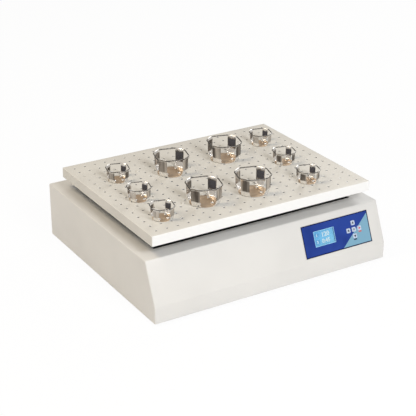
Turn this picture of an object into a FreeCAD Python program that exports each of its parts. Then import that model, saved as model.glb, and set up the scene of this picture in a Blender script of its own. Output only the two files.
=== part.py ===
import FreeCAD, Part
import math
import operator
import os
from types import SimpleNamespace

import Sketcher

# Benchtop orbital shaker: a low sheet-metal housing, an open platform that circles above it on three
# eccentric shafts, and ten wire-hooped flask clamps on the platform's grid of holes.
# Millimetres, +Z up, +X to the right, the front faces -Y. The origin is on the bench, under the
# middle of the housing. The three cranks rest with their pins turned to the front.

# Driving sizes: every length that can be changed by itself
SIZES = {
    # platform tray
    "platform_width": 650.0,
    "platform_depth": 500.0,
    "skirt_height": 27.0,
    "tray_sheet": 2.5,
    "hole_pitch": 30.0,
    "hole_edge_margin": 24.0,
    "hole_size": 6.0,
    # housing
    "housing_width": 695.0,
    "housing_depth": 590.0,
    "housing_height": 150.0,
    "front_lip": 43.5,
    "front_setback": 45.0,
    "cover_sheet": 2.0,
    "cover_bend": 3.0,
    "ground_gap": 5.0,
    "platform_gap": 31.0,
    "rear_inset": 7.0,
    "rear_sheet": 2.0,
    "sheet_clearance": 0.4,
    # base pan and feet
    "pan_inset": 3.0,
    "pan_sheet": 2.0,
    "pan_flange": 22.0,
    "foot_radius": 20.0,
    "foot_margin": 55.0,
    # drive well in the housing's top
    "recess_side_land": 51.0,
    "recess_front_land": 48.0,
    "recess_back_land": 61.0,
    "well_depth": 30.0,
    "well_sheet": 1.5,
    "well_flange": 14.0,
    "shaft_hole_gap": 5.0,
    # eccentric shafts
    "orbit_radius": 12.5,
    "web_wall_gap": 26.0,
    "journal_radius": 12.5,
    "pin_radius": 10.0,
    "web_thickness": 14.0,
    "web_floor_gap": 4.0,
    "web_side_rim": 11.0,
    "web_pin_rim": 6.0,
    "running_clearance": 0.05,
    "seat_clearance": 0.3,
    "press_clearance": 0.02,
    "shaft_floor_gap": 6.0,
    # bearing frame
    "shaft_bearing_width": 60.0,
    "bearing_gap": 6.0,
    "frame_plate": 16.0,
    "frame_rim": 20.0,
    "frame_leg": 24.0,
    # belt drive
    "pulley_floor_gap": 10.0,
    "belt_width": 14.0,
    "belt_thickness": 3.0,
    "belt_side_gap": 0.5,
    "belt_gap": 0.3,
    # motor
    "motor_width": 88.0,
    "motor_shaft_radius": 6.0,
    "motor_bore_depth": 12.0,
    "motor_boss_width": 32.0,
    "motor_boss_height": 3.0,
    "motor_top_gap": 6.0,
    "motor_frame_gap": 25.0,
    "bracket_sheet": 3.0,
    "bracket_leg_gap": 8.0,
    "bracket_foot": 14.0,
    # platform carrier
    "carrier_plate": 8.0,
    "carrier_edge": 7.0,
    "carrier_wall": 6.0,
    "carrier_flange": 14.0,
    "pin_bearing_width": 56.0,
    "pin_bearing_gap": 5.0,
    "pin_bearing_sink": 18.0,
    "pin_bore_relief": 4.0,
    "tray_screw_across": 10.0,
    "tray_screw_height": 2.5,
    # flask clamps
    "clamp_sheet": 1.5,
    "hoop_gap": 0.1,
    "knee_lean": 0.6,
    "clamp_screw_across": 8.0,
    "clamp_screw_height": 3.0,
    "large_floor_radius": 37.0,
    "large_arm_width": 25.0,
    "large_foot_radius": 38.5,
    "large_knee_height": 15.0,
    "large_hoop_across": 92.5,
    "large_hoop_cut": 31.0,
    "large_hoop_height": 50.0,
    "large_wire": 3.0,
    "small_floor_radius": 24.6,
    "small_arm_width": 16.6,
    "small_foot_radius": 26.0,
    "small_knee_height": 10.0,
    "small_hoop_across": 62.0,
    "small_hoop_cut": 20.7,
    "small_hoop_height": 33.5,
    "small_wire": 2.4,
    # control panel on the slanted front
    "panel_width": 212.0,
    "panel_height": 85.0,
    "panel_right_margin": 37.5,
    "panel_low_margin": 12.0,
    "panel_proud": 0.5,
    "panel_flange": 7.0,
    "panel_flange_sheet": 2.0,
    "panel_clearance": 0.4,
    "lcd_width": 64.5,
    "lcd_height": 40.5,
    "lcd_from_left": 67.0,
    "lcd_from_bottom": 44.5,
    "lcd_window_sheet": 1.2,
    "lcd_window_sink": 0.4,
    "lcd_module_rim": 5.0,
    "key_size": 12.0,
    "key_pitch": 17.5,
    "keys_from_left": 160.5,
    "keys_from_bottom": 43.5,
    "key_proud": 1.4,
    "key_clearance": 0.15,
    "key_rim": 1.5,
    "key_rim_sheet": 1.5,
    "key_travel": 1.0,
    "key_stop_gap": 0.1,
    "switch_size": 6.0,
    "switch_height": 5.0,
    "board_sheet": 1.6,
    "board_margin": 4.0,
    # rear fittings
    "inlet_width": 50.0,
    "inlet_height": 40.0,
    "inlet_flange": 2.5,
    "inlet_body_width": 32.0,
    "inlet_body_height": 36.0,
    "inlet_body_depth": 24.0,
    "inlet_socket_width": 24.0,
    "inlet_socket_height": 16.5,
    "inlet_socket_depth": 17.0,
    "inlet_socket_rise": 7.0,
    "inlet_corner_cut": 4.0,
    "drawer_height": 8.0,
    "drawer_drop": 12.0,
    "drawer_depth": 15.0,
    "drawer_proud": 1.0,
    "drawer_gap": 0.2,
    "blade_width": 2.0,
    "blade_height": 4.0,
    "blade_length": 11.0,
    "blade_pitch": 7.0,
    "blade_offset": 4.0,
    "inlet_side_margin": 90.0,
    "fittings_height": 62.0,
    "switch_from_inlet": 58.0,
    "rocker_frame_width": 21.0,
    "rocker_frame_height": 28.0,
    "rocker_frame_rim": 2.5,
    "rocker_frame_flange": 2.0,
    "rocker_frame_depth": 16.0,
    "rocker_gap": 0.8,
    "rocker_proud": 1.0,
    "rocker_depth": 9.0,
    "rocker_pin_radius": 1.2,
    "rocker_pin_reach": 1.5,
    "vent_width": 5.0,
    "vent_height": 44.0,
    "vent_pitch": 14.0,
    "vent_margin": 70.0,
    "rear_screw_across": 7.0,
    "rear_screw_height": 2.5,
    "rear_screw_margin": 12.0,
    # electronics on the pan
    "supply_width": 110.0,
    "supply_depth": 160.0,
    "supply_height": 44.0,
    "supply_side_gap": 26.0,
    "driver_width": 90.0,
    "driver_depth": 120.0,
    "driver_side_gap": 26.0,
    "driver_standoff": 10.0,
    "standoff_radius": 4.0,
    "standoff_inset": 8.0,
    "overrun": 1.0,
}

# Shares of other sizes, angles and counts
WEB_SHARE = 0.6
LEG_SHARE = 0.75
CARRIER_WIDTH_SHARE = 0.62
WEIGHT_ANGLES = (20.0, 55.0, 90.0, 125.0, 160.0)
DRUM_SHARE = 0.5
BELT_RATIO = 3.0
HEAD_SIDE_COUNT = 6
HOLE_SIDE_COUNT = 4
ROUND_SIDE_COUNT = 12
DISC_SIDE_COUNT = 12
DRUM_SIDE_COUNT = 20
TURN = 360.0
SHAFT_NAMES = ("crank", "idler_left", "idler_right")
CRANK_ANGLE = 90.0
LEG_ANGLES = (30.0, 150.0, 270.0)
PIN_DIRECTION = -90.0
VENT_COUNT = 10
ARM_COUNT = 4
CLAMP_TURN = 30.0
CLAMP_SCREW_SHARE = 0.65
ROCKER_TILT = 7.0

# Where the clamps stand: shares of the platform's width from its left edge and of its depth from the back
LARGE_CLAMP_SHARES = ((0.361, 0.361), (0.625, 0.341), (0.323, 0.779), (0.539, 0.798))
SMALL_CLAMP_SHARES = (
    (0.137, 0.305),
    (0.121, 0.579),
    (0.113, 0.838),
    (0.849, 0.259),
    (0.815, 0.556),
    (0.786, 0.832),
)
TRAY_SCREW_SHARES = ((0.24, 0.24), (0.76, 0.24), (0.24, 0.76), (0.76, 0.76))
KEY_PLACES = {
    "key_up": (0, 1),
    "key_left": (-1, 0),
    "key_centre": (0, 0),
    "key_right": (1, 0),
    "key_down": (0, -1),
}

doc = FreeCAD.newDocument("benchtop_shaker")
nodes = []


class Size:
    """A number together with the sheet formula that it came from."""

    def __init__(self, number, formula):
        self.number = float(number)
        self.formula = formula

    def __float__(self):
        return self.number

    def joined(self, work, sign, other, turned=False):
        """The two operands worked out, and their formulas written as one."""
        other = other if isinstance(other, Size) else Size(other, repr(float(other)))
        left, right = (other, self) if turned else (self, other)
        return Size(work(left.number, right.number), f"({left.formula} {sign} {right.formula})")

    def __add__(self, other):
        return self.joined(operator.add, "+", other)

    def __radd__(self, other):
        return self.joined(operator.add, "+", other, turned=True)

    def __sub__(self, other):
        return self.joined(operator.sub, "-", other)

    def __rsub__(self, other):
        return self.joined(operator.sub, "-", other, turned=True)

    def __mul__(self, other):
        return self.joined(operator.mul, "*", other)

    def __rmul__(self, other):
        return self.joined(operator.mul, "*", other, turned=True)

    def __truediv__(self, other):
        return self.joined(operator.truediv, "/", other)

    def __neg__(self):
        return self * -1


def fill_sheet(sizes):
    """Write the driving sizes as plain numbers with aliases, and return them as named sizes."""
    sheet = doc.addObject("Spreadsheet::Sheet", "Sizes")
    for row, (alias, number) in enumerate(sizes.items(), start=1):
        sheet.set(f"A{row}", alias)
        sheet.set(f"B{row}", str(number))
        sheet.setAlias(f"B{row}", alias)
    doc.recompute()
    return SimpleNamespace(**{alias: Size(number, f"Sizes.{alias}") for alias, number in sizes.items()})


def cos(degrees):
    return round(math.cos(math.radians(degrees)), 12)


def sin(degrees):
    return round(math.sin(math.radians(degrees)), 12)


def polar(centre, radius, degrees):
    """The point at a radius and an angle from a centre."""
    return centre[0] + radius * cos(degrees), centre[1] + radius * sin(degrees)


def vec(x, y, z=0):
    return FreeCAD.Vector(float(x), float(y), float(z))


def fitted(span, pitch, margin):
    """How many pitches of a centred row fit in a span with a margin at both ends."""
    return int(math.floor((float(span) - 2 * float(margin)) / float(pitch)))


def work_out(s):
    """Sizes that follow from the driving ones."""
    s.housing_top = s.ground_gap + s.housing_height
    s.pan_bottom = s.ground_gap + s.pan_inset
    s.pan_top = s.pan_bottom + s.pan_sheet
    s.front_y = -s.housing_depth / 2
    s.back_y = s.housing_depth / 2
    s.lip_top = s.ground_gap + s.front_lip
    s.top_front_y = s.front_y + s.front_setback
    s.inner_half_width = s.housing_width / 2 - s.cover_sheet
    s.rear_face_y = s.back_y - s.rear_inset
    # recess in the top and the well that hangs in it
    s.recess_width = s.housing_width - 2 * s.recess_side_land
    s.recess_front = s.top_front_y + s.recess_front_land
    s.recess_back = s.back_y - s.recess_back_land
    s.recess_depth = s.recess_back - s.recess_front
    s.orbit_y = (s.recess_back + s.recess_front) / 2
    s.cover_underside = s.housing_top - s.cover_sheet
    s.well_top = s.housing_top - s.well_depth
    s.well_bottom = s.well_top - s.well_sheet
    # ring of shafts
    s.shaft_ring = (s.recess_depth / 2 - s.web_wall_gap) / (1 + WEB_SHARE)
    s.weight_radius = s.shaft_ring * WEB_SHARE
    s.ring_centre = (Size(0, "0"), s.orbit_y)
    step = TURN / len(SHAFT_NAMES)
    turns = {name: CRANK_ANGLE + step * number for number, name in enumerate(SHAFT_NAMES)}
    s.shafts = {name: polar(s.ring_centre, s.shaft_ring, turn) for name, turn in turns.items()}
    # heights along the shafts
    s.pulley_bottom = s.pan_top + s.pulley_floor_gap
    s.driven_drum_radius = s.shaft_ring * DRUM_SHARE
    s.motor_drum_radius = s.driven_drum_radius / BELT_RATIO
    s.pulley_height = s.belt_width + 2 * s.belt_side_gap
    s.bearing_bottom = s.pulley_bottom + s.pulley_height + s.bearing_gap
    s.bearing_top = s.well_bottom - s.bearing_gap
    s.web_bottom = s.well_top + s.web_floor_gap
    s.web_top = s.web_bottom + s.web_thickness
    # platform
    s.skirt_bottom = s.housing_top + s.platform_gap
    s.platform_top = s.skirt_bottom + s.skirt_height
    s.tray_underside = s.platform_top - s.tray_sheet
    s.platform_y = s.orbit_y - s.orbit_radius
    s.carrier_bottom = s.tray_underside - s.carrier_plate
    s.pin_bearing_bottom = s.housing_top + s.pin_bearing_gap
    s.pin_top = s.pin_bearing_bottom + s.pin_bearing_sink
    s.pin_bore_top = s.pin_top + s.pin_bore_relief
    s.columns = fitted(s.platform_width, s.hole_pitch, s.hole_edge_margin)
    s.rows = fitted(s.platform_depth, s.hole_pitch, s.hole_edge_margin)
    s.grid_left = s.hole_pitch * s.columns / -2
    s.grid_back = s.platform_y + s.hole_pitch * s.rows / 2
    # motor, level with the crank at its left; its right front corner keeps a gap to the frame's slanted edge
    s.frame_reach = s.shaft_bearing_width / 2 + s.frame_rim
    beside_frame = s.frame_reach + (s.frame_reach + s.motor_width / 2) * math.tan(math.radians(TURN / 12))
    s.motor_x = -beside_frame - s.motor_frame_gap - s.motor_width / 2
    s.motor_y = s.shafts["crank"][1]
    s.bracket_top = s.bearing_bottom
    s.motor_top = s.well_bottom - s.motor_top_gap
    # slanted front
    s.slope_rise = float(s.housing_height - s.front_lip)
    s.slope_angle = math.degrees(math.atan2(float(s.front_setback), s.slope_rise))
    s.panel_x = s.housing_width / 2 - s.panel_right_margin - s.panel_width / 2
    s.panel_up = s.panel_low_margin + s.panel_height / 2
    s.key_back = s.cover_sheet + s.panel_flange_sheet + s.key_rim_sheet
    s.switch_top = s.key_back + s.key_travel + s.key_stop_gap
    s.board_front = s.switch_top + s.switch_height
    # rear fittings
    s.inlet_x = s.housing_width / 2 - s.inlet_side_margin
    s.rocker_x = s.inlet_x - s.switch_from_inlet
    s.rocker_pivot = s.rocker_frame_flange + s.rocker_proud - s.rocker_depth / 2


def bind(thing, **sizes):
    """Tie properties of a document object to the sheet."""
    for name, size in sizes.items():
        thing.setExpression(name, size.formula)
    return thing


def seat(thing, x, y, z, turn=0):
    """Place an object by formulas, turned about the vertical."""
    thing.Placement = FreeCAD.Placement(vec(x, y, z), FreeCAD.Rotation(FreeCAD.Vector(0, 0, 1), turn))
    for axis, size in zip("xyz", (x, y, z)):
        if isinstance(size, Size):
            thing.setExpression(f"Placement.Base.{axis}", size.formula)
    return thing


def node(thing, label):
    """Name an object as one of the shaker's sub-parts."""
    thing.Label = label
    nodes.append(thing)
    return thing


def box(name, length, width, height, x, y, z, turn=0):
    """A block with its low corner at x, y, z."""
    block = doc.addObject("Part::Box", name)
    bind(block, Length=length, Width=width, Height=height)
    return seat(block, x, y, z, turn)


def middle_box(name, length, width, height, x, y, z):
    """A block centred on x and y, standing on z."""
    return box(name, length, width, height, x - length / 2, y - width / 2, z)


def cylinder(name, radius, height, x, y, z):
    rod = doc.addObject("Part::Cylinder", name)
    bind(rod, Radius=radius, Height=height)
    return seat(rod, x, y, z)


def prism(name, sides, across, height, x, y, z):
    """A regular prism, such as a screw's hexagon head, measured across its corners."""
    head = doc.addObject("Part::Prism", name)
    head.Polygon = sides
    bind(head, Circumradius=across / 2, Height=height)
    return seat(head, x, y, z)


def cut(name, base, tool):
    remainder = doc.addObject("Part::Cut", name)
    remainder.Base = base
    remainder.Tool = tool
    remainder.Refine = True
    return remainder


def group(label, pieces):
    """Equal small pieces kept as separate solids under one name."""
    together = doc.addObject("Part::Compound", label)
    together.Links = pieces
    return node(together, label)


def shaped(label, shape, placement=None):
    """A sub-part whose outline is worked out here, from the sheet's sizes."""
    feature = doc.addObject("Part::Feature", label)
    feature.Shape = shape
    if placement is not None:
        feature.Placement = placement
    return node(feature, label)


def new_body(label):
    return node(doc.addObject("PartDesign::Body", label), label)


def sketch_on(body, name, role, lift=None):
    """A sketch on one of the body's own origin planes, lifted along that plane's normal."""
    sketch = body.newObject("Sketcher::SketchObject", name)
    plane = next(feature for feature in body.Origin.OriginFeatures if feature.Role == role)
    sketch.AttachmentSupport = [(plane, "")]
    sketch.MapMode = "FlatFace"
    if lift is not None:
        sketch.setExpression("AttachmentOffset.Base.z", lift.formula)
    return sketch


def hold(sketch, geometry, point, x, y):
    """Fix a point of a sketch at formulas for x and y."""
    for kind, place in (("DistanceX", x), ("DistanceY", y)):
        index = sketch.addConstraint(Sketcher.Constraint(kind, -1, 1, geometry, point, float(place)))
        if isinstance(place, Size):
            sketch.setExpression(f"Constraints[{index}]", place.formula)


def outline(sketch, corners):
    """A closed run of straight lines through the corners."""
    first = len(sketch.Geometry)
    count = len(corners)
    points = [vec(x, y) for x, y in corners]
    for index in range(count):
        line = Part.LineSegment(points[index], points[(index + 1) % count])
        sketch.addGeometry(line, False)
    for index in range(count):
        follower = first + (index + 1) % count
        sketch.addConstraint(Sketcher.Constraint("Coincident", first + index, 2, follower, 1))
    for index, (x, y) in enumerate(corners):
        hold(sketch, first + index, 1, x, y)
    return sketch


def rectangle(sketch, x_low, x_high, y_low, y_high):
    return outline(sketch, [(x_low, y_low), (x_high, y_low), (x_high, y_high), (x_low, y_high)])


def circle(sketch, x, y, radius):
    ring = sketch.addGeometry(Part.Circle(vec(x, y), FreeCAD.Vector(0, 0, 1), float(radius)), False)
    hold(sketch, ring, 3, x, y)
    index = sketch.addConstraint(Sketcher.Constraint("Radius", ring, float(radius)))
    sketch.setExpression(f"Constraints[{index}]", radius.formula)
    return sketch


def pad(body, name, sketch, length, both_ways=False, against_normal=False):
    feature = body.newObject("PartDesign::Pad", name)
    feature.Profile = sketch
    feature.SideType = "Symmetric" if both_ways else "One side"
    feature.Reversed = against_normal
    bind(feature, Length=length)
    doc.recompute()
    return feature


def pocket(body, name, sketch, length, both_ways=False, along_normal=False):
    """Cut a sketch into its body; the solid has to lose volume."""
    before = body.Shape.Volume
    feature = body.newObject("PartDesign::Pocket", name)
    feature.Profile = sketch
    feature.SideType = "Symmetric" if both_ways else "One side"
    feature.Reversed = along_normal
    bind(feature, Length=length)
    doc.recompute()
    if not body.Shape.Volume < before:
        raise ValueError(f"{name} cuts nothing")
    return feature


def round_edges(body, name, base, radius, chosen):
    """Round the edges of the last feature whose middle point passes the test."""
    names = []
    for index, edge in enumerate(base.Shape.Edges, start=1):
        if chosen(edge):
            names.append(f"Edge{index}")
    feature = body.newObject("PartDesign::Fillet", name)
    feature.Base = (base, names)
    bind(feature, Radius=radius)
    doc.recompute()
    return feature


def polygon_face(points):
    return Part.Face(Part.makePolygon(points + points[:1]))


def flats(centre, radius, sides, turn=0.0):
    """The corners of a regular polygon."""
    return [polar(centre, radius, turn + TURN / sides * side) for side in range(sides)]


def bare_prism(points, level, height):
    """An upright solid over a closed outline."""
    return polygon_face([vec(x, y, level) for x, y in points]).extrude(vec(0, 0, height))


def base_pan(s):
    """The steel pan that carries the drive; its upturned flange stands inside the cover."""
    body = new_body("base_pan")
    half = s.inner_half_width - s.sheet_clearance
    front = s.front_y + s.cover_sheet + s.sheet_clearance
    back = s.rear_face_y - s.rear_sheet - s.sheet_clearance
    floor = sketch_on(body, "pan_outline", "XY_Plane", s.pan_bottom)
    pad(body, "pan_block", rectangle(floor, -half, half, front, back), s.pan_flange)
    inside = sketch_on(body, "pan_inside", "XY_Plane", s.pan_bottom + s.pan_flange)
    wall = s.pan_sheet
    rectangle(inside, wall - half, half - wall, front + wall, back - wall)
    pocket(body, "pan_hollow", inside, s.pan_flange - s.pan_sheet)


def housing_cover(s):
    """The painted cover: front with its upright lip and slant, sides and top in one folded sheet."""
    body = new_body("housing_cover")
    section = sketch_on(body, "cover_section", "YZ_Plane")
    outline(
        section,
        [
            (s.front_y, s.ground_gap),
            (s.back_y, s.ground_gap),
            (s.back_y, s.housing_top),
            (s.top_front_y, s.housing_top),
            (s.front_y, s.lip_top),
        ],
    )
    block = pad(body, "cover_block", section, s.housing_width, both_ways=True)
    lowest = float(s.ground_gap + s.front_lip / 2)

    def folded(edge):
        extent = edge.BoundBox
        middle = edge.CenterOfMass
        across = extent.XLength > extent.YLength + extent.ZLength
        return across and middle.z > lowest and middle.y < 0

    round_edges(body, "cover_bends", block, s.cover_bend, folded)
    # the sheet's inner faces lie one thickness inside the slanted face
    wall = s.cover_sheet
    slant_in = float(wall) / cos(s.slope_angle)
    lip_in = wall * (math.tan(math.radians(s.slope_angle / 2)))
    inside = sketch_on(body, "cover_inside", "YZ_Plane")
    inner_top = s.housing_top - wall
    lean = s.front_setback / (s.housing_height - s.front_lip)
    inner_top_front = s.top_front_y + wall * (slant_in / float(wall)) - wall * lean
    outline(
        inside,
        [
            (s.front_y + wall, s.ground_gap - s.overrun),
            (s.back_y + s.overrun, s.ground_gap - s.overrun),
            (s.back_y + s.overrun, inner_top),
            (inner_top_front, inner_top),
            (s.front_y + wall, s.lip_top - lip_in),
        ],
    )
    pocket(body, "cover_hollow", inside, s.housing_width - 2 * wall, both_ways=True)
    recess = sketch_on(body, "recess_outline", "XY_Plane", s.housing_top + s.overrun)
    rectangle(recess, -s.recess_width / 2, s.recess_width / 2, s.recess_front, s.recess_back)
    pocket(body, "recess", recess, s.cover_sheet + 2 * s.overrun)
    # opening for the control panel, square to the slanted face
    opening = sketch_on(body, "panel_opening", "XZ_Plane")
    tilt = FreeCAD.Rotation(FreeCAD.Vector(1, 0, 0), -s.slope_angle)
    foot = vec(0, s.lip_top, -s.front_y)
    opening.AttachmentOffset = FreeCAD.Placement(foot, tilt)
    left = s.panel_x - s.panel_width / 2 - s.panel_clearance
    right = s.panel_x + s.panel_width / 2 + s.panel_clearance
    low = s.panel_low_margin - s.panel_clearance
    rectangle(opening, left, right, low, s.panel_low_margin + s.panel_height + s.panel_clearance)
    pocket(body, "panel_cutout", opening, 2 * s.cover_sheet)


def rear_panel(s):
    """The flat back, set in between the cover's walls, with vents and the cut-outs for the fittings."""
    body = new_body("rear_panel")
    half = s.inner_half_width - s.sheet_clearance
    top = s.housing_top - s.cover_sheet - s.sheet_clearance
    face = sketch_on(body, "rear_outline", "XZ_Plane", -s.rear_face_y)
    pad(body, "rear_sheet", rectangle(face, -half, half, s.ground_gap, top), s.rear_sheet)
    fittings = sketch_on(body, "fitting_cutouts", "XZ_Plane", s.overrun - s.rear_face_y + s.rear_sheet)
    half_width = s.inlet_body_width / 2 + s.sheet_clearance
    half_height = s.inlet_body_height / 2 + s.sheet_clearance
    rectangle(
        fittings,
        s.inlet_x - half_width,
        s.inlet_x + half_width,
        s.fittings_height - half_height,
        s.fittings_height + half_height,
    )
    half_width = s.rocker_frame_width / 2 + s.sheet_clearance
    half_height = s.rocker_frame_height / 2 + s.sheet_clearance
    rectangle(
        fittings,
        s.rocker_x - half_width,
        s.rocker_x + half_width,
        s.fittings_height - half_height,
        s.fittings_height + half_height,
    )
    pocket(body, "fittings", fittings, s.rear_sheet + 2 * s.overrun)
    slot = sketch_on(body, "first_vent", "XZ_Plane", s.overrun - s.rear_face_y + s.rear_sheet)
    left = s.vent_margin - half
    low = s.fittings_height - s.vent_height / 2
    rectangle(slot, left, left + s.vent_width, low, low + s.vent_height)
    vent = pocket(body, "vent", slot, s.rear_sheet + 2 * s.overrun)
    row = body.newObject("PartDesign::LinearPattern", "vents")
    row.Originals = [vent]
    row.Direction = (slot, ["H_Axis"])
    row.Occurrences = VENT_COUNT
    bind(row, Length=s.vent_pitch * (VENT_COUNT - 1))
    body.Tip = row
    doc.recompute()


def drive_well(s):
    """The black well that hangs in the recess, with a hole for each shaft in its floor."""
    body = new_body("drive_well")
    half = s.recess_width / 2
    rim = s.well_flange
    flange = sketch_on(body, "well_flange", "XY_Plane", s.cover_underside)
    rectangle(flange, -half - rim, half + rim, s.recess_front - rim, s.recess_back + rim)
    pad(body, "flange", flange, s.well_sheet, against_normal=True)
    wall = s.well_sheet
    tub = sketch_on(body, "well_tub", "XY_Plane", s.cover_underside)
    rectangle(tub, -half - wall, half + wall, s.recess_front - wall, s.recess_back + wall)
    pad(body, "tub", tub, s.cover_underside - s.well_bottom, against_normal=True)
    inside = sketch_on(body, "well_inside", "XY_Plane", s.cover_underside)
    rectangle(inside, -half, half, s.recess_front, s.recess_back)
    pocket(body, "well_hollow", inside, s.cover_underside - s.well_top)
    floor = sketch_on(body, "shaft_holes", "XY_Plane", s.well_top + s.overrun)
    for x, y in s.shafts.values():
        outline(floor, flats((x, y), s.journal_radius + s.shaft_hole_gap, ROUND_SIDE_COUNT))
    pocket(body, "shaft_openings", floor, s.well_sheet + 2 * s.overrun)


def rubber_feet(s):
    feet = []
    for name, side, end in (("a", -1, -1), ("b", 1, -1), ("c", -1, 1), ("d", 1, 1)):
        x = (s.housing_width / 2 - s.foot_margin) * side
        y = (s.housing_depth / 2 - s.foot_margin) * end
        feet.append(prism(f"foot_{name}", ROUND_SIDE_COUNT, 2 * s.foot_radius, s.pan_bottom, x, y, 0))
    group("rubber_feet", feet)


def bearing_frame(s):
    """The steel plate on three legs that carries the shaft bearings in square openings."""
    body = new_body("bearing_frame")
    half = s.shaft_bearing_width / 2
    rim = s.frame_reach
    top_y = s.shafts["crank"][1]
    side_x, side_y = s.shafts["idler_right"]
    level = (s.bearing_bottom + s.bearing_top + s.frame_plate) / 2
    plate = sketch_on(body, "frame_outline", "XY_Plane", level)
    outline(
        plate,
        [
            (-rim, top_y + rim),
            (-side_x - rim, side_y + rim),
            (-side_x - rim, side_y - rim),
            (side_x + rim, side_y - rim),
            (side_x + rim, side_y + rim),
            (rim, top_y + rim),
        ],
    )
    pad(body, "frame_sheet", plate, s.frame_plate, against_normal=True)
    reach = half + s.seat_clearance
    openings = sketch_on(body, "bearing_openings", "XY_Plane", level)
    for x, y in s.shafts.values():
        rectangle(openings, x - reach, x + reach, y - reach, y + reach)
    pocket(body, "bearing_holes", openings, s.frame_plate)
    legs = sketch_on(body, "frame_legs", "XY_Plane", s.pan_top)
    half = s.frame_leg / 2
    for turn in LEG_ANGLES:
        x, y = polar(s.ring_centre, s.shaft_ring * LEG_SHARE, turn)
        rectangle(legs, x - half, x + half, y - half, y + half)
    pad(body, "legs", legs, level - s.pan_top - s.frame_plate / 2)


def bored_block(name, width, height, bore, depth, x, y, z):
    """A square bearing block with a round bore from below."""
    block = middle_box(f"{name}_block", width, width, height, x, y, z)
    hole = cylinder(f"{name}_bore", bore, depth + bore, x, y, z - bore)
    return cut(name, block, hole)


def shaft_bearings(s):
    """The three long bearing blocks in which the shafts turn."""
    height = s.bearing_top - s.bearing_bottom
    bore = s.journal_radius + s.running_clearance
    blocks = []
    for name, place in s.shafts.items():
        size = (s.shaft_bearing_width, height, bore, height + bore)
        blocks.append(bored_block(f"shaft_bearing_{name}", *size, *place, s.bearing_bottom))
    group("shaft_bearings", blocks)


def crank_shaft(s, label, shaft, foot):
    """A shaft with its journal, its web with the counterweight, and the eccentric pin on top."""
    body = new_body(label)
    x, y = s.shafts[shaft]
    side = s.journal_radius + s.web_side_rim
    pin_end = y - s.orbit_radius - s.pin_radius - s.web_pin_rim
    corners = [(x - side, pin_end), (x + side, pin_end), (x + side, y)]
    corners += [polar((x, y), s.weight_radius, turn) for turn in WEIGHT_ANGLES]
    corners.append((x - side, y))
    web = sketch_on(body, f"{label}_web", "XY_Plane", s.web_bottom)
    pad(body, f"{label}_weight", outline(web, corners), s.web_thickness)
    journal = sketch_on(body, f"{label}_journal", "XY_Plane", s.web_bottom)
    pad(body, f"{label}_shaft", circle(journal, x, y, s.journal_radius), s.web_bottom - foot, against_normal=True)
    pin = sketch_on(body, f"{label}_pin", "XY_Plane", s.web_top)
    circle(pin, *polar((x, y), s.orbit_radius, PIN_DIRECTION), s.pin_radius)
    pad(body, f"{label}_crankpin", pin, s.pin_top - s.web_top)


def pulley(s, label, drum, bore, centre):
    """A flat-belt pulley; its rim and bore are drawn with flats."""
    body = new_body(label)
    half_step = TURN / DRUM_SIDE_COUNT / 2
    face = sketch_on(body, f"{label}_face", "XY_Plane")
    middle = (0 * drum, 0 * drum)
    outline(face, flats(middle, drum, DRUM_SIDE_COUNT))
    outline(face, flats(middle, bore / cos(half_step), DRUM_SIDE_COUNT))
    pad(body, f"{label}_drum", face, s.pulley_height)
    seat(body, *centre, s.pulley_bottom)


def wrapped(centre_a, radius_a, centre_b, radius_b):
    """The corners of a belt line round two pulleys."""
    run = vec(*centre_b) - vec(*centre_a)
    heading = math.degrees(math.atan2(run.y, run.x))
    lean = math.degrees(math.acos((float(radius_a) - float(radius_b)) / run.Length))
    corners = []
    for centre, radius, start, end in (
        (centre_a, radius_a, heading + lean, heading + TURN - lean),
        (centre_b, radius_b, heading - lean, heading + lean),
    ):
        steps = math.ceil((end - start) * DRUM_SIDE_COUNT / TURN)
        swing = (end - start) / steps
        reach = float(radius) / cos(swing / 2)
        corners += [polar(centre, reach, start + swing * (step + 1 / 2)) for step in range(steps)]
    return corners


def drive_belt(s):
    """The flat belt round both pulleys, clear of them by the belt gap."""
    level = s.pulley_bottom + s.belt_side_gap
    driven = s.shafts["crank"]
    motor = (s.motor_x, s.motor_y)
    inner = (s.driven_drum_radius + s.belt_gap, s.motor_drum_radius + s.belt_gap)
    outer = (inner[0] + s.belt_thickness, inner[1] + s.belt_thickness)
    hole = bare_prism(wrapped(driven, inner[0], motor, inner[1]), level, s.belt_width)
    loop = bare_prism(wrapped(driven, outer[0], motor, outer[1]), level, s.belt_width)
    shaped("drive_belt", loop.cut(hole))


def motor_bracket(s):
    """An inverted channel that straddles the motor pulley."""
    body = new_body("motor_bracket")
    leg = s.motor_width / 2 + s.bracket_leg_gap
    foot = leg + s.bracket_foot
    sheet = s.bracket_sheet
    height = s.bracket_top - s.pan_top
    section = sketch_on(body, "bracket_section", "YZ_Plane")
    outline(
        section,
        [
            (-foot, 0),
            (-leg + sheet, 0),
            (-leg + sheet, height - sheet),
            (leg - sheet, height - sheet),
            (leg - sheet, 0),
            (foot, 0),
            (foot, sheet),
            (leg, sheet),
            (leg, height),
            (-leg, height),
            (-leg, sheet),
            (-foot, sheet),
        ],
    )
    pad(body, "bracket_channel", section, s.motor_width, both_ways=True)
    hole = sketch_on(body, "bracket_hole", "XY_Plane", height)
    half = s.motor_boss_width / 2 + s.seat_clearance
    pocket(body, "boss_hole", rectangle(hole, -half, half, -half, half), sheet)
    seat(body, s.motor_x, s.motor_y, s.pan_top)


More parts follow.
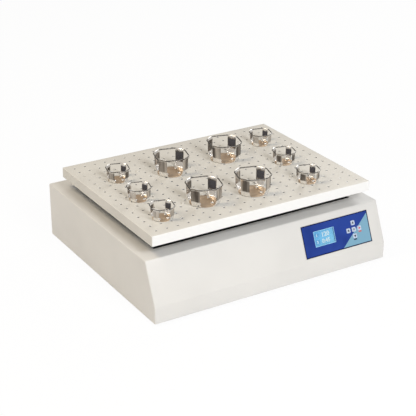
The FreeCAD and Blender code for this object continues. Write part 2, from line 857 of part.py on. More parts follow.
def motor_body(s):
    """The square motor, with a boss and a blind bore for its shaft underneath."""
    body = new_body("motor_body")
    half = s.motor_width / 2
    case = sketch_on(body, "motor_case", "XY_Plane")
    pad(body, "case", rectangle(case, -half, half, -half, half), s.motor_top - s.bracket_top)
    half = s.motor_boss_width / 2
    boss = sketch_on(body, "motor_boss", "XY_Plane")
    pad(body, "boss", rectangle(boss, -half, half, -half, half), s.motor_boss_height, against_normal=True)
    bore = sketch_on(body, "motor_bore", "XY_Plane", -s.motor_boss_height)
    circle(bore, 0 * half, 0 * half, s.motor_shaft_radius + s.running_clearance)
    pocket(body, "shaft_bore", bore, s.motor_boss_height + s.motor_bore_depth, along_normal=True)
    seat(body, s.motor_x, s.motor_y, s.bracket_top)


def motor_shaft(s):
    bottom = s.pan_top + s.shaft_floor_gap
    height = s.bracket_top + s.motor_bore_depth - bottom
    node(cylinder("motor_shaft", s.motor_shaft_radius, height, s.motor_x, s.motor_y, bottom), "motor_shaft")


def electronics(s):
    """The power supply and the motor driver, on the pan at the right and left."""
    half = s.inner_half_width
    supply_x = half - s.supply_side_gap - s.supply_width / 2
    supply = (s.supply_width, s.supply_depth, s.supply_height)
    node(middle_box("power_supply", *supply, supply_x, s.orbit_y, s.pan_top), "power_supply")
    driver_x = s.driver_side_gap + s.driver_width / 2 - half
    level = s.pan_top + s.driver_standoff
    size = (s.driver_width, s.driver_depth, s.board_sheet)
    driver_y = s.front_y / 2
    node(middle_box("driver_board", *size, driver_x, driver_y, level), "driver_board")
    posts = []
    for name, side, end in (("a", -1, -1), ("b", 1, -1), ("c", -1, 1), ("d", 1, 1)):
        x = driver_x + (s.driver_width / 2 - s.standoff_inset) * side
        y = driver_y + (s.driver_depth / 2 - s.standoff_inset) * end
        across = 2 * s.standoff_radius
        posts.append(prism(f"standoff_{name}", HEAD_SIDE_COUNT, across, s.driver_standoff, x, y, s.pan_top))
    group("board_standoffs", posts)


def on_panel(s):
    """The control panel's own frame: x across, y up the slope, z out of the slanted face."""
    up = FreeCAD.Vector(0, sin(s.slope_angle), cos(s.slope_angle))
    foot = vec(s.panel_x, s.front_y, s.lip_top)
    tilt = FreeCAD.Rotation(FreeCAD.Vector(1, 0, 0), TURN / 4 - s.slope_angle)
    return FreeCAD.Placement(foot + up * float(s.panel_up), tilt)


def panel_box(s, label, width, height, depth, x, y, front):
    """A block behind the panel's face, placed in the panel's frame."""
    block = doc.addObject("Part::Box", label)
    bind(block, Length=width, Width=height, Height=depth)
    low = vec(x - width / 2, y - height / 2, front - depth)
    block.Placement = on_panel(s).multiply(FreeCAD.Placement(low, FreeCAD.Rotation()))
    return block


def key_centres(s):
    """Centre of each key in the panel's frame."""
    x = s.keys_from_left - s.panel_width / 2
    y = s.keys_from_bottom - s.panel_height / 2
    places = KEY_PLACES.items()
    return {name: (x + s.key_pitch * across, y + s.key_pitch * up) for name, (across, up) in places}


def control_panel(s):
    """The moulded panel: a face that fills the cover's cut-out and a flange behind the sheet."""
    body = new_body("control_panel")
    half = s.panel_width / 2
    tall = s.panel_height / 2
    face = sketch_on(body, "panel_face", "XY_Plane", s.panel_proud)
    rectangle(face, -half, half, -tall, tall)
    pad(body, "face", face, s.panel_proud + s.cover_sheet, against_normal=True)
    rim = s.panel_flange
    flange = sketch_on(body, "panel_flange_outline", "XY_Plane", -s.cover_sheet)
    rectangle(flange, -half - rim, half + rim, -tall - rim, tall + rim)
    pad(body, "flange_plate", flange, s.panel_flange_sheet, against_normal=True)
    lcd_x, lcd_y = lcd_centre(s)
    window = sketch_on(body, "lcd_opening", "XY_Plane", s.panel_proud + s.overrun)
    half_width = s.lcd_width / 2
    half_height = s.lcd_height / 2
    rectangle(window, lcd_x - half_width, lcd_x + half_width, lcd_y - half_height, lcd_y + half_height)
    depth = s.panel_proud + s.cover_sheet + s.panel_flange_sheet + 2 * s.overrun
    pocket(body, "lcd_window_hole", window, depth)
    holes = sketch_on(body, "key_openings", "XY_Plane", s.panel_proud + s.overrun)
    reach = s.key_size / 2 + s.key_clearance
    for x, y in key_centres(s).values():
        rectangle(holes, x - reach, x + reach, y - reach, y + reach)
    pocket(body, "key_holes", holes, depth)
    body.Placement = on_panel(s)


def lcd_centre(s):
    """Centre of the display in the panel's frame."""
    return s.lcd_from_left - s.panel_width / 2, s.lcd_from_bottom - s.panel_height / 2


def display(s):
    """The window, the display behind it, and the board that carries both and the key switches."""
    x, y = lcd_centre(s)
    play = 2 * s.key_clearance
    window = (s.lcd_width - play, s.lcd_height - play, s.lcd_window_sheet)
    node(panel_box(s, "lcd_window", *window, x, y, s.panel_proud - s.lcd_window_sink), "lcd_window")
    back = s.cover_sheet + s.panel_flange_sheet
    rim = 2 * s.lcd_module_rim
    module = (s.lcd_width + rim, s.lcd_height + rim, s.board_front - back)
    node(panel_box(s, "lcd_module", *module, x, y, -back), "lcd_module")
    margin = 2 * s.board_margin
    board = (s.panel_width - margin, s.panel_height - margin, s.board_sheet)
    zero = 0 * s.board_sheet
    node(panel_box(s, "display_board", *board, zero, zero, -s.board_front), "display_board")
    switches = []
    for name, (x, y) in key_centres(s).items():
        size = (s.switch_size, s.switch_size, s.switch_height)
        switches.append(panel_box(s, f"{name}_switch", *size, x, y, -s.switch_top))
    group("key_switches", switches)


def keys(s):
    """Five square caps; each has a rim behind the panel that keeps it in."""
    for name, (x, y) in key_centres(s).items():
        body = new_body(name)
        half = s.key_size / 2
        cap = sketch_on(body, f"{name}_cap", "XY_Plane", s.panel_proud + s.key_proud)
        rectangle(cap, -half, half, -half, half)
        depth = s.panel_proud + s.key_proud + s.cover_sheet + s.panel_flange_sheet
        pad(body, f"{name}_stem", cap, depth, against_normal=True)
        rim = half + s.key_rim
        back = sketch_on(body, f"{name}_rim", "XY_Plane", -s.cover_sheet - s.panel_flange_sheet)
        rectangle(back, -rim, rim, -rim, rim)
        pad(body, f"{name}_retainer", back, s.key_rim_sheet, against_normal=True)
        body.Placement = on_panel(s).multiply(FreeCAD.Placement(vec(x, y, 0), FreeCAD.Rotation()))


def power_inlet(s):
    """The mains inlet: a flanged body with a keyed socket and three blades."""
    body = new_body("power_inlet")
    face = sketch_on(body, "inlet_flange", "XZ_Plane", -s.inlet_flange)
    half = s.inlet_width / 2
    tall = s.inlet_height / 2
    pad(body, "inlet_plate", rectangle(face, -half, half, -tall, tall), s.inlet_flange)
    half = s.inlet_body_width / 2
    tall = s.inlet_body_height / 2
    rear = sketch_on(body, "inlet_case", "XZ_Plane")
    pad(body, "inlet_block", rectangle(rear, -half, half, -tall, tall), s.inlet_body_depth)
    half = s.inlet_socket_width / 2
    low = s.inlet_socket_rise - s.inlet_socket_height / 2
    high = s.inlet_socket_rise + s.inlet_socket_height / 2
    corner = s.inlet_corner_cut
    socket = sketch_on(body, "inlet_socket", "XZ_Plane", -s.inlet_flange)
    outline(
        socket,
        [
            (-half, low),
            (half, low),
            (half, high - corner),
            (half - corner, high),
            (corner - half, high),
            (-half, high - corner),
        ],
    )
    pocket(body, "inlet_cavity", socket, s.inlet_socket_depth, along_normal=True)
    drawer = sketch_on(body, "drawer_opening", "XZ_Plane", -s.inlet_flange)
    tall = s.drawer_height / 2 + s.drawer_gap
    wide = half + s.drawer_gap
    rectangle(drawer, -wide, wide, -s.drawer_drop - tall, tall - s.drawer_drop)
    pocket(body, "drawer_slot", drawer, s.drawer_depth, along_normal=True)
    bottom = s.inlet_socket_depth - s.inlet_flange
    blades = sketch_on(body, "inlet_blades", "XZ_Plane", bottom)
    wide = s.blade_width / 2
    high = s.blade_height / 2
    middle = 0 * s.blade_width
    rise = s.inlet_socket_rise
    for x, y in (
        (-s.blade_pitch, rise - s.blade_offset / 2),
        (middle, rise + s.blade_offset / 2),
        (s.blade_pitch, rise - s.blade_offset / 2),
    ):
        rectangle(blades, x - wide, x + wide, y - high, y + high)
    pad(body, "inlet_blade_row", blades, s.blade_length, against_normal=True)
    seat(body, s.inlet_x, s.rear_face_y, s.fittings_height)


def fuse_drawer(s):
    """The fuse drawer under the inlet's socket, a little proud of it so that it can be pulled."""
    size = (s.inlet_socket_width, s.drawer_depth, s.drawer_height)
    back = s.rear_face_y + s.inlet_flange + s.drawer_proud
    low = s.fittings_height - s.drawer_drop - s.drawer_height / 2
    left = s.inlet_x - s.inlet_socket_width / 2
    node(box("fuse_drawer", *size, left, back - s.drawer_depth, low), "fuse_drawer")


def switch_frame(s):
    """The rocker switch's case, open to the back, with a hole in each side wall for the rocker's pins."""
    body = new_body("switch_frame")
    half = s.rocker_frame_width / 2
    tall = s.rocker_frame_height / 2
    rim = s.rocker_frame_flange
    face = sketch_on(body, "frame_flange", "XZ_Plane", -rim)
    pad(body, "frame_face", rectangle(face, -half - rim, half + rim, -tall - rim, tall + rim), rim)
    case = sketch_on(body, "frame_case", "XZ_Plane")
    pad(body, "frame_block", rectangle(case, -half, half, -tall, tall), s.rocker_frame_depth)
    wall = s.rocker_frame_rim
    hollow = sketch_on(body, "frame_hollow", "XZ_Plane", -rim)
    rectangle(hollow, wall - half, half - wall, wall - tall, tall - wall)
    pocket(body, "frame_cavity", hollow, s.rocker_frame_depth, along_normal=True)
    hole = sketch_on(body, "pin_hole", "YZ_Plane")
    reach = (s.rocker_pin_radius + s.running_clearance) / cos(TURN / ROUND_SIDE_COUNT / 2)
    outline(hole, flats((s.rocker_pivot, 0 * wall), reach, ROUND_SIDE_COUNT))
    pocket(body, "pin_holes", hole, s.rocker_frame_width, both_ways=True)
    seat(body, s.rocker_x, s.rear_face_y, s.fittings_height)


def power_rocker(s):
    """The rocker: a shallow V across its two pivot pins, resting with its upper end pressed in."""
    half = float(s.rocker_frame_width / 2 - s.rocker_frame_rim - s.rocker_gap)
    tall = float(s.rocker_frame_height / 2 - s.rocker_frame_rim - s.rocker_gap)
    proud = float(s.rocker_frame_flange + s.rocker_proud)
    depth = float(s.rocker_depth)
    dip = tall * math.tan(math.radians(ROCKER_TILT))
    profile = [
        vec(-half, proud - dip, 0),
        vec(-half, proud, tall),
        vec(-half, proud - depth, tall / 2),
        vec(-half, proud - depth, -tall / 2),
        vec(-half, proud, -tall),
    ]
    solid = polygon_face(profile).extrude(vec(2 * half, 0, 0))
    pivot = vec(0, s.rocker_pivot, 0)
    solid.rotate(pivot, vec(1, 0, 0), ROCKER_TILT)
    pin_end = float(s.rocker_frame_width / 2 - s.rocker_frame_rim + s.rocker_pin_reach)
    pin = Part.makeCylinder(float(s.rocker_pin_radius), 2 * pin_end, pivot - vec(pin_end, 0), vec(1, 0, 0))
    solid = solid.fuse(pin)
    place = vec(s.rocker_x, s.rear_face_y, s.fittings_height)
    shaped("power_rocker", solid, FreeCAD.Placement(place, FreeCAD.Rotation()))


def rear_screws(s):
    """Hexagon heads along the rear panel's edges."""
    across = s.rear_screw_across
    heads = []
    half = s.inner_half_width - s.rear_screw_margin
    low = s.ground_gap + s.rear_screw_margin
    high = s.housing_top - s.cover_sheet - s.rear_screw_margin
    lying = FreeCAD.Rotation(FreeCAD.Vector(1, 0, 0), -TURN / 4)
    for number, (x, z) in enumerate([(x, z) for x in (-half, 0 * half, half) for z in (low, high)]):
        head = doc.addObject("Part::Prism", f"rear_screw_{number}")
        head.Polygon = HEAD_SIDE_COUNT
        bind(head, Circumradius=across / 2, Height=s.rear_screw_height)
        head.Placement = FreeCAD.Placement(vec(x, s.rear_face_y, z), lying)
        heads.append(head)
    group("rear_screws", heads)


def grid_place(s, column, row):
    """A place on the tray's grid, in pitches from its left back hole."""
    return s.grid_left + s.hole_pitch * column, s.grid_back - s.hole_pitch * row


def cell_near(s, share_x, share_y):
    """The middle of the four holes that lies nearest to a share of the platform."""
    from_left = float(s.platform_width) * share_x + float(-s.platform_width / 2 - s.grid_left)
    from_back = float(s.platform_depth) * share_y - float(s.platform_y + s.platform_depth / 2 - s.grid_back)
    column = math.floor(from_left / float(s.hole_pitch))
    row = math.floor(from_back / float(s.hole_pitch))
    half = 1 / 2
    return grid_place(s, column + half, row + half)


def platform_tray(s):
    """The perforated tray with its turned-down skirt. The corner holes are drilled round as fixing holes,
    and each hole of the grid between them is drawn with four flats, to keep the facets few."""
    half_width = s.platform_width / 2
    front = s.platform_y - s.platform_depth / 2
    back = s.platform_y + s.platform_depth / 2
    level = s.tray_underside
    rim = [(-half_width, front), (half_width, front), (half_width, back), (-half_width, back)]
    wires = [Part.makePolygon([vec(x, y, level) for x, y in rim + rim[:1]])]
    radius = s.hole_size / 2
    corners = {(0, 0), (0, s.rows), (s.columns, 0), (s.columns, s.rows)}
    for column in range(s.columns + 1):
        for row in range(s.rows + 1):
            centre = grid_place(s, column, row)
            if (column, row) in corners:
                wires.append(Part.Wire(Part.makeCircle(float(radius), vec(*centre, level))))
                continue
            corners_of_hole = flats(centre, radius, HOLE_SIDE_COUNT)
            wires.append(Part.makePolygon([vec(x, y, level) for x, y in corners_of_hole + corners_of_hole[:1]]))
    sheet = Part.makeFace(wires, "Part::FaceMakerBullseye").extrude(vec(0, 0, s.tray_sheet))
    wall = s.tray_sheet
    height = float(s.skirt_height - wall)
    low = vec(-half_width, front, s.skirt_bottom)
    skirt = Part.makeBox(float(s.platform_width), float(s.platform_depth), height, low)
    inner = (float(s.platform_width - 2 * wall), float(s.platform_depth - 2 * wall), float(s.skirt_height))
    low = vec(wall - half_width, front + wall, s.skirt_bottom - s.overrun)
    skirt = skirt.cut(Part.makeBox(*inner, low))
    shaped("platform_tray", sheet.fuse(skirt).removeSplitter())


def platform_carrier(s):
    """The flanged plate under the tray, to which the pin bearings are bolted."""
    body = new_body("platform_carrier")
    half = s.platform_width * CARRIER_WIDTH_SHARE / 2
    reach = s.shaft_ring + s.pin_bearing_width / 2 + s.carrier_edge
    y = s.platform_y
    plate = sketch_on(body, "carrier_outline", "XY_Plane", s.tray_underside)
    rectangle(plate, -half, half, y - reach, y + reach)
    depth = s.carrier_plate + s.carrier_flange
    pad(body, "carrier_block", plate, depth, against_normal=True)
    inside = sketch_on(body, "carrier_inside", "XY_Plane", s.carrier_bottom)
    half = half - s.carrier_wall
    reach = reach - s.carrier_wall
    rectangle(inside, -half, half, y - reach, y + reach)
    pocket(body, "carrier_hollow", inside, s.carrier_flange)


def pin_bearings(s):
    """The bearing blocks under the carrier, one over each crank pin."""
    height = s.carrier_bottom - s.pin_bearing_bottom
    depth = s.pin_bore_top - s.pin_bearing_bottom
    bore = s.pin_radius + s.running_clearance
    blocks = []
    for name, place in s.shafts.items():
        x, y = polar(place, s.orbit_radius, PIN_DIRECTION)
        size = (s.pin_bearing_width, height, bore, depth)
        blocks.append(bored_block(f"pin_bearing_{name}", *size, x, y, s.pin_bearing_bottom))
    group("pin_bearings", blocks)


def tray_screws(s):
    heads = []
    for number, (share_x, share_y) in enumerate(TRAY_SCREW_SHARES):
        x, y = cell_near(s, share_x, share_y)
        size = (s.tray_screw_across, s.tray_screw_height)
        heads.append(prism(f"tray_screw_{number}", HEAD_SIDE_COUNT, *size, x, y, s.platform_top))
    group("tray_screws", heads)


def clamp_kind(s, kind):
    """The sizes of one kind of clamp, under short names."""
    names = ("floor_radius", "arm_width", "foot_radius", "knee_height")
    names += ("hoop_across", "hoop_cut", "hoop_height", "wire")
    return SimpleNamespace(**{name: float(getattr(s, f"{kind}_{name}")) for name in names})


def clamp_shape(s, c):
    """One clamp from sheet: a round floor and four arms that rise outwards to a knee, stand upright above it
    and end in a lip over the hoop."""
    sheet = float(s.clamp_sheet)
    wire = c.wire
    gap = float(s.hoop_gap)
    tip_out = c.hoop_across / 2 - wire / 2 - gap
    knee_out = tip_out - float(s.knee_lean)
    lip_low = c.hoop_height + wire / 2 + gap
    half = c.arm_width / 2
    start = c.floor_radius - half
    section = [
        vec(start, -half, 0),
        vec(c.foot_radius, -half, 0),
        vec(knee_out, -half, c.knee_height),
        vec(tip_out, -half, lip_low),
        vec(tip_out + wire, -half, lip_low),
        vec(tip_out + wire, -half, lip_low + sheet),
        vec(tip_out - sheet, -half, lip_low + sheet),
        vec(knee_out - sheet, -half, c.knee_height),
        vec(c.foot_radius - sheet, -half, sheet),
        vec(start, -half, sheet),
    ]
    arm = polygon_face(section).extrude(vec(0, c.arm_width, 0))
    disc = flats((0, 0), c.floor_radius, DISC_SIDE_COUNT, CLAMP_TURN)
    floor = bare_prism(disc, 0, sheet)
    arms = []
    for number in range(ARM_COUNT):
        turned = arm.copy()
        turned.rotate(vec(0, 0), vec(0, 0, 1), CLAMP_TURN + TURN / ARM_COUNT * number)
        arms.append(turned)
    return floor.fuse(arms).removeSplitter()


def hoop_shape(c):
    """The eight-sided wire hoop, straight along each arm and straight between the arms."""
    half = c.hoop_across / 2
    inset = half - c.hoop_cut
    corners = []
    for number in range(ARM_COUNT):
        turn = CLAMP_TURN + TURN / ARM_COUNT * number
        for side in (-inset, inset):
            x = half * cos(turn) - side * sin(turn)
            y = half * sin(turn) + side * cos(turn)
            corners.append(vec(x, y, c.hoop_height))
    start = (corners[0] + corners[1]) * (1 / 2)
    path = Part.makePolygon([start] + corners[1:] + [corners[0], start])
    outwards = vec(cos(CLAMP_TURN), sin(CLAMP_TURN))
    radius = c.wire / 2
    ring_points = []
    for side in range(HOLE_SIDE_COUNT):
        turn = TURN / HOLE_SIDE_COUNT * side
        ring_points.append(start + outwards * (radius * cos(turn)) + vec(0, 0, radius * sin(turn)))
    tube = Part.BRepOffsetAPI.MakePipeShell(path)
    tube.setTransitionMode(1)
    tube.add(Part.makePolygon(ring_points + ring_points[:1]))
    tube.build()
    tube.makeSolid()
    return tube.shape()


def flask_clamps(s):
    """Four large and six small clamps with their hoops and screws."""
    screws = []
    for kind, shares in (("large", LARGE_CLAMP_SHARES), ("small", SMALL_CLAMP_SHARES)):
        c = clamp_kind(s, kind)
        clamp = clamp_shape(s, c)
        hoop = hoop_shape(c)
        hoops = []
        for number, (share_x, share_y) in enumerate(shares, start=1):
            x = s.platform_width * share_x - s.platform_width / 2
            y = s.platform_y + s.platform_depth / 2 - s.platform_depth * share_y
            place = FreeCAD.Placement(vec(x, y, s.platform_top), FreeCAD.Rotation())
            shaped(f"flask_clamp_{kind}_{number}", clamp.copy(), place)
            wire = doc.addObject("Part::Feature", f"{kind}_hoop_{number}")
            wire.Shape = hoop.copy()
            wire.Placement = place
            hoops.append(wire)
            level = s.platform_top + s.clamp_sheet
            reach = getattr(s, f"{kind}_floor_radius") * CLAMP_SCREW_SHARE
            spots = flats((x, y), reach, ARM_COUNT, CLAMP_TURN)
            for arm, spot in enumerate(spots):
                size = (s.clamp_screw_across, s.clamp_screw_height)
                screws.append(prism(f"{kind}_screw_{number}_{arm}", HOLE_SIDE_COUNT, *size, *spot, level))
        group(f"clamp_hoops_{kind}", hoops)
    group("clamp_screws", screws)


def build(s):
    """Every sub-part, from the pan upwards."""
    base_pan(s)
    housing_cover(s)
    rear_panel(s)
    drive_well(s)
    rubber_feet(s)
    bearing_frame(s)
    shaft_bearings(s)
    crank_shaft(s, "crank_shaft", "crank", s.pan_top + s.shaft_floor_gap)
    for side in ("left", "right"):
        crank_shaft(s, f"idler_shaft_{side}", f"idler_{side}", s.bearing_bottom)
    bore = s.journal_radius + s.press_clearance
    pulley(s, "driven_pulley", s.driven_drum_radius, bore, s.shafts["crank"])
    bore = s.motor_shaft_radius + s.press_clearance
    pulley(s, "motor_pulley", s.motor_drum_radius, bore, (s.motor_x, s.motor_y))
    drive_belt(s)
    motor_bracket(s)
    motor_body(s)
    motor_shaft(s)
    electronics(s)
    control_panel(s)
    display(s)
    keys(s)
    power_inlet(s)
    fuse_drawer(s)
    switch_frame(s)
    power_rocker(s)
    rear_screws(s)
    platform_tray(s)
    platform_carrier(s)
    pin_bearings(s)
    tray_screws(s)
    flask_clamps(s)


def check_and_write():
    """Stop at any failed object or broken solid, then write one STEP file per sub-part."""
    doc.recompute()
    for thing in doc.Objects:
        if "Invalid" in thing.State or "Error" in thing.State:
            raise ValueError(f"{thing.Label} failed to recompute")
    for thing in nodes:
        if thing.Shape.isNull() or not thing.Shape.isValid() or not thing.Shape.Solids:
            raise ValueError(f"{thing.Label} is not a valid solid")
    os.makedirs("parts", exist_ok=True)
    for thing in nodes:
        thing.Shape.exportStep(f"parts/{thing.Label}.step")
    print(len(nodes), "sub-parts written")


named = fill_sheet(SIZES)
work_out(named)
build(named)
check_and_write()
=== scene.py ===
"""Looks of an open platform shaker: painted sheet housing, perforated tray, wire-hooped flask clamps."""

import logging
import math
from contextlib import contextmanager
from dataclasses import dataclass, field
from enum import Enum
from typing import Callable, Iterator, Optional, Sequence, Union

import bmesh
import bpy
from mathutils import Matrix, Vector


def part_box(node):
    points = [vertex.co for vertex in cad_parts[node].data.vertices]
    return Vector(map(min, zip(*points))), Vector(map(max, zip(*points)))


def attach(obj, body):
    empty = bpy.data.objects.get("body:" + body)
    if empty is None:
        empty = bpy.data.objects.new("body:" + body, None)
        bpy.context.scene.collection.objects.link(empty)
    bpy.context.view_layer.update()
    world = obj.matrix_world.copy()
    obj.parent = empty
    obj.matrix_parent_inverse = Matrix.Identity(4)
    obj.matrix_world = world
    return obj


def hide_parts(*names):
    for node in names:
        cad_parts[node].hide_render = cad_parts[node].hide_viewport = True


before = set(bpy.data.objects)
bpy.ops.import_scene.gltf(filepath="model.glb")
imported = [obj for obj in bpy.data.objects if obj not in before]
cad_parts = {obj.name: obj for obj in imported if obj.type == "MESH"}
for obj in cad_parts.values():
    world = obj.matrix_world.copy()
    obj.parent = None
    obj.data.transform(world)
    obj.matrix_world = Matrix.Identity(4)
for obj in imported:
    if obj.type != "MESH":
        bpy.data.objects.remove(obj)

logging.basicConfig(level=logging.INFO, format="%(message)s")
log = logging.getLogger("shaker")

MM = 0.001
SAME = 0.01 * MM
FULL_TURN = 2 * math.pi

Piece = bpy.types.Object
Material = bpy.types.Material
Triple = tuple[float, float, float]
Number = Union[float, "Value"]
Tint = Union[Triple, "Value"]
Test = Callable[[list[Vector]], bool]
Settings = dict[str, object]
Sockets = dict[object, object]


def srgb(red: float, green: float, blue: float) -> Triple:
    """Turn a colour as seen on a screen into the linear one that a shader takes.

    Args:
        red: Red, 0 to 255.
        green: Green, 0 to 255.
        blue: Blue, 0 to 255.

    Returns:
        The linear colour.
    """
    def linear(part: float) -> float:
        """Undo the screen's curve for one channel."""
        part /= 255
        return part / 12.92 if part <= 0.04045 else ((part + 0.055) / 1.055) ** 2.4

    return linear(red), linear(green), linear(blue)


def shaded(colour: Triple, factor: float, lift: float = 0.0) -> Triple:
    """The colour times a factor, plus a lift."""
    return tuple(part * factor + lift for part in colour)


# Shader maths


class Value:
    """The output of a shader node, on which ordinary arithmetic adds Math nodes."""

    def __init__(self, nodes: "Nodes", socket: bpy.types.NodeSocket) -> None:
        """Keep the output and the tree that it belongs to."""
        self.nodes = nodes
        self.socket = socket

    def maths(self, operation: str, first: Number, second: Number = 0.0) -> "Value":
        """Add one Math node."""
        return self.nodes.add("ShaderNodeMath", {"operation": operation}, {0: first, 1: second})

    def __add__(self, other: Number) -> "Value":
        """Sum."""
        return self.maths("ADD", self, other)

    def __sub__(self, other: Number) -> "Value":
        """Difference."""
        return self.maths("SUBTRACT", self, other)

    def __rsub__(self, other: Number) -> "Value":
        """Difference with the number first."""
        return self.maths("SUBTRACT", other, self)

    def __mul__(self, other: Number) -> "Value":
        """Product."""
        return self.maths("MULTIPLY", self, other)

    def __truediv__(self, other: Number) -> "Value":
        """Quotient."""
        return self.maths("DIVIDE", self, other)

    def __abs__(self) -> "Value":
        """Size without sign."""
        return self.maths("ABSOLUTE", self)

    def __gt__(self, other: Number) -> "Value":
        """One where this is greater, else nought."""
        return self.maths("GREATER_THAN", self, other)

    def __lt__(self, other: Number) -> "Value":
        """One where this is less, else nought."""
        return self.maths("LESS_THAN", self, other)

    # A sum and a product are the same from either side.
    __radd__ = __add__
    __rmul__ = __mul__

    def least(self, other: Number) -> "Value":
        """The lesser of the two."""
        return self.maths("MINIMUM", self, other)

    def most(self, other: Number) -> "Value":
        """The greater of the two."""
        return self.maths("MAXIMUM", self, other)

    def wave(self) -> "Value":
        """Sine."""
        return self.maths("SINE", self)

    def within(self, low: float, high: float) -> "Value":
        """One between two bounds, else nought."""
        return (self > low) * (self < high)

    def share(self, low: float, high: float) -> "Value":
        """How far it has come from one bound to the other, from nought to one."""
        return ((self - low) / (high - low)).least(1.0).most(0.0)

    def eased(self, low: float, high: float) -> "Value":
        """Nought below low, one above high, and a soft step between."""
        ends = {0: self, 1: low, 2: high, 3: 0.0, 4: 1.0}
        return self.nodes.add("ShaderNodeMapRange", {"interpolation_type": "SMOOTHSTEP"}, ends)


class Nodes:
    """A node tree in the making."""

    def __init__(self, tree: bpy.types.NodeTree) -> None:
        """Start with an empty tree."""
        self.tree = tree
        tree.nodes.clear()

    def node(self, kind: str, settings: Settings, sockets: Sockets) -> bpy.types.Node:
        """Add a node: its settings first, then its sockets.

        Args:
            kind: Blender's type of the node.
            settings: Its plain properties.
            sockets: Constants or links by the name or number of the input.

        Returns:
            The node.
        """
        node = self.tree.nodes.new(kind)
        for name, setting in settings.items():
            setattr(node, name, setting)
        for name, content in sockets.items():
            self.feed(node.inputs[name], content)
        return node

    def add(self, kind: str, settings: Settings, sockets: Sockets, out: object = 0) -> Value:
        """Add a node, and give its output of that name or number."""
        return Value(self, self.node(kind, settings, sockets).outputs[out])

    def feed(self, socket: bpy.types.NodeSocket, content: object) -> None:
        """Link a value to an input, or set a constant on it.

        Args:
            socket: The input.
            content: A value, a number, a colour or a vector.
        """
        if isinstance(content, Value):
            self.tree.links.new(content.socket, socket)
        elif isinstance(content, tuple) and socket.type == "RGBA":
            socket.default_value = (*content, 1.0)
        else:
            socket.default_value = content


class Shader(Nodes):
    """A material in the making: one Principled surface and the nodes that feed it."""

    def __init__(self, name: str) -> None:
        """Start a material.

        Args:
            name: The material's name.
        """
        self.material = bpy.data.materials.new(name)
        self.material.use_nodes = True
        super().__init__(self.material.node_tree)
        self.surface = self.node("ShaderNodeBsdfPrincipled", {}, {})
        self.node("ShaderNodeOutputMaterial", {}, {0: Value(self, self.surface.outputs[0])})

    def finished(self, **sockets: object) -> Material:
        """Feed the surface, with the spaces in its inputs' names written as underscores.

        Args:
            **sockets: Constants or links.

        Returns:
            The material.
        """
        for name, content in sockets.items():
            self.feed(self.surface.inputs[name.replace("_", " ")], content)
        return self.material

    def place(self) -> Value:
        """The point on the object."""
        return self.add("ShaderNodeTexCoord", {}, {}, "Object")

    def axes(self) -> tuple[Value, ...]:
        """The x, y and z of the point on the object."""
        parts = self.node("ShaderNodeSeparateXYZ", {}, {0: self.place()})
        return tuple(Value(self, part) for part in parts.outputs)

    def stretched(self, scale: Triple) -> Value:
        """The point on the object with each axis scaled."""
        return self.add("ShaderNodeMapping", {}, {"Vector": self.place(), "Scale": scale})

    def noise(self, scale: float, detail: float = 2.0, place: Optional[Value] = None) -> Value:
        """Cloudy noise between nought and one, with so many clouds per metre and so many octaves."""
        sockets = {"Vector": place or self.place(), "Scale": scale, "Detail": detail}
        return self.add("ShaderNodeTexNoise", {}, sockets)

    def mixed(self, share: Number, first: Tint, second: Tint) -> Value:
        """Blend two colours, where a share of nought gives the first."""
        return self.add("ShaderNodeMix", {"data_type": "RGBA"}, {0: share, 6: first, 7: second}, 2)

    def relief(self, height: Value, depth: float, strength: float) -> Value:
        """Turn the normal for a height of nought to one, which is so many metres deep."""
        return self.add("ShaderNodeBump", {}, {"Height": height, "Distance": depth, "Strength": strength})


# Finishes


@dataclass(frozen=True)
class PowderCoat:
    """Baked paint on sheet metal, with a fine orange peel and a faint drift of tone.

    Attributes:
        name: Name of the material.
        colour: Paint.
        roughness: Mean roughness.
        peel: Clouds of orange peel per metre.
        depth: Height of the peel in metres.
        drift: How far the tone drifts, as a share.
    """

    name: str
    colour: Triple
    roughness: float
    peel: float = 620.0
    depth: float = 0.02 * MM
    drift: float = 0.05

    def make(self) -> Material:
        """Build the material.

        Returns:
            The material.
        """
        shader = Shader(self.name)
        cloud, scuff = shader.noise(5.0, 3.0), shader.noise(60.0, 4.0)
        share = cloud.eased(0.35, 0.75) * 0.6 + scuff.eased(0.62, 0.8) * 0.12
        return shader.finished(
            Base_Color=shader.mixed(share, self.colour, shaded(self.colour, 1 - 2 * self.drift)),
            Roughness=self.roughness + (scuff - 0.5) * 0.14,
            Normal=shader.relief(shader.noise(self.peel, 1.5), self.depth, 0.6),
        )


@dataclass(frozen=True)
class TrayCoat:
    """The tray's paint with painted light: brighter on the skirts in front and behind, painted shade of a
    warm grey on top and at the short sides.

    Attributes:
        name: Name of the material.
        painted_lit_tone: Paint of the skirts in front and behind, painted brighter as lit.
        wear_and_painted_shade: Painted shade tone of the top and of the short sides.
        level: Height of the top in metres.
        half: Half the tray's width in metres.
    """

    name: str
    painted_lit_tone: Triple
    wear_and_painted_shade: Triple
    level: float
    half: float

    def make(self) -> Material:
        """Build the material.

        Returns:
            The material.
        """
        shader = Shader(self.name)
        x, _, height = shader.axes()
        cloud, grain = shader.noise(9.0, 4.0), shader.noise(300.0, 3.0)
        share = cloud.eased(0.35, 0.75) * 0.7 + grain.eased(0.55, 0.8) * 0.4
        # Painted light: the top and the short sides get the darker tone as painted shade, the other faces
        # the brighter tone as lit.
        top = shader.mixed(share, self.wear_and_painted_shade, shaded(self.wear_and_painted_shade, 0.86))
        above = height.eased(self.level - 0.9 * MM, self.level - 0.1 * MM)
        beside = abs(x).eased(self.half - 1.2 * MM, self.half - 0.2 * MM)
        return shader.finished(
            Base_Color=shader.mixed(above.most(beside), self.painted_lit_tone, top),
            Roughness=0.44 + (grain - 0.5) * 0.16,
            Normal=shader.relief(shader.noise(520.0, 1.5), 0.02 * MM, 0.6),
        )


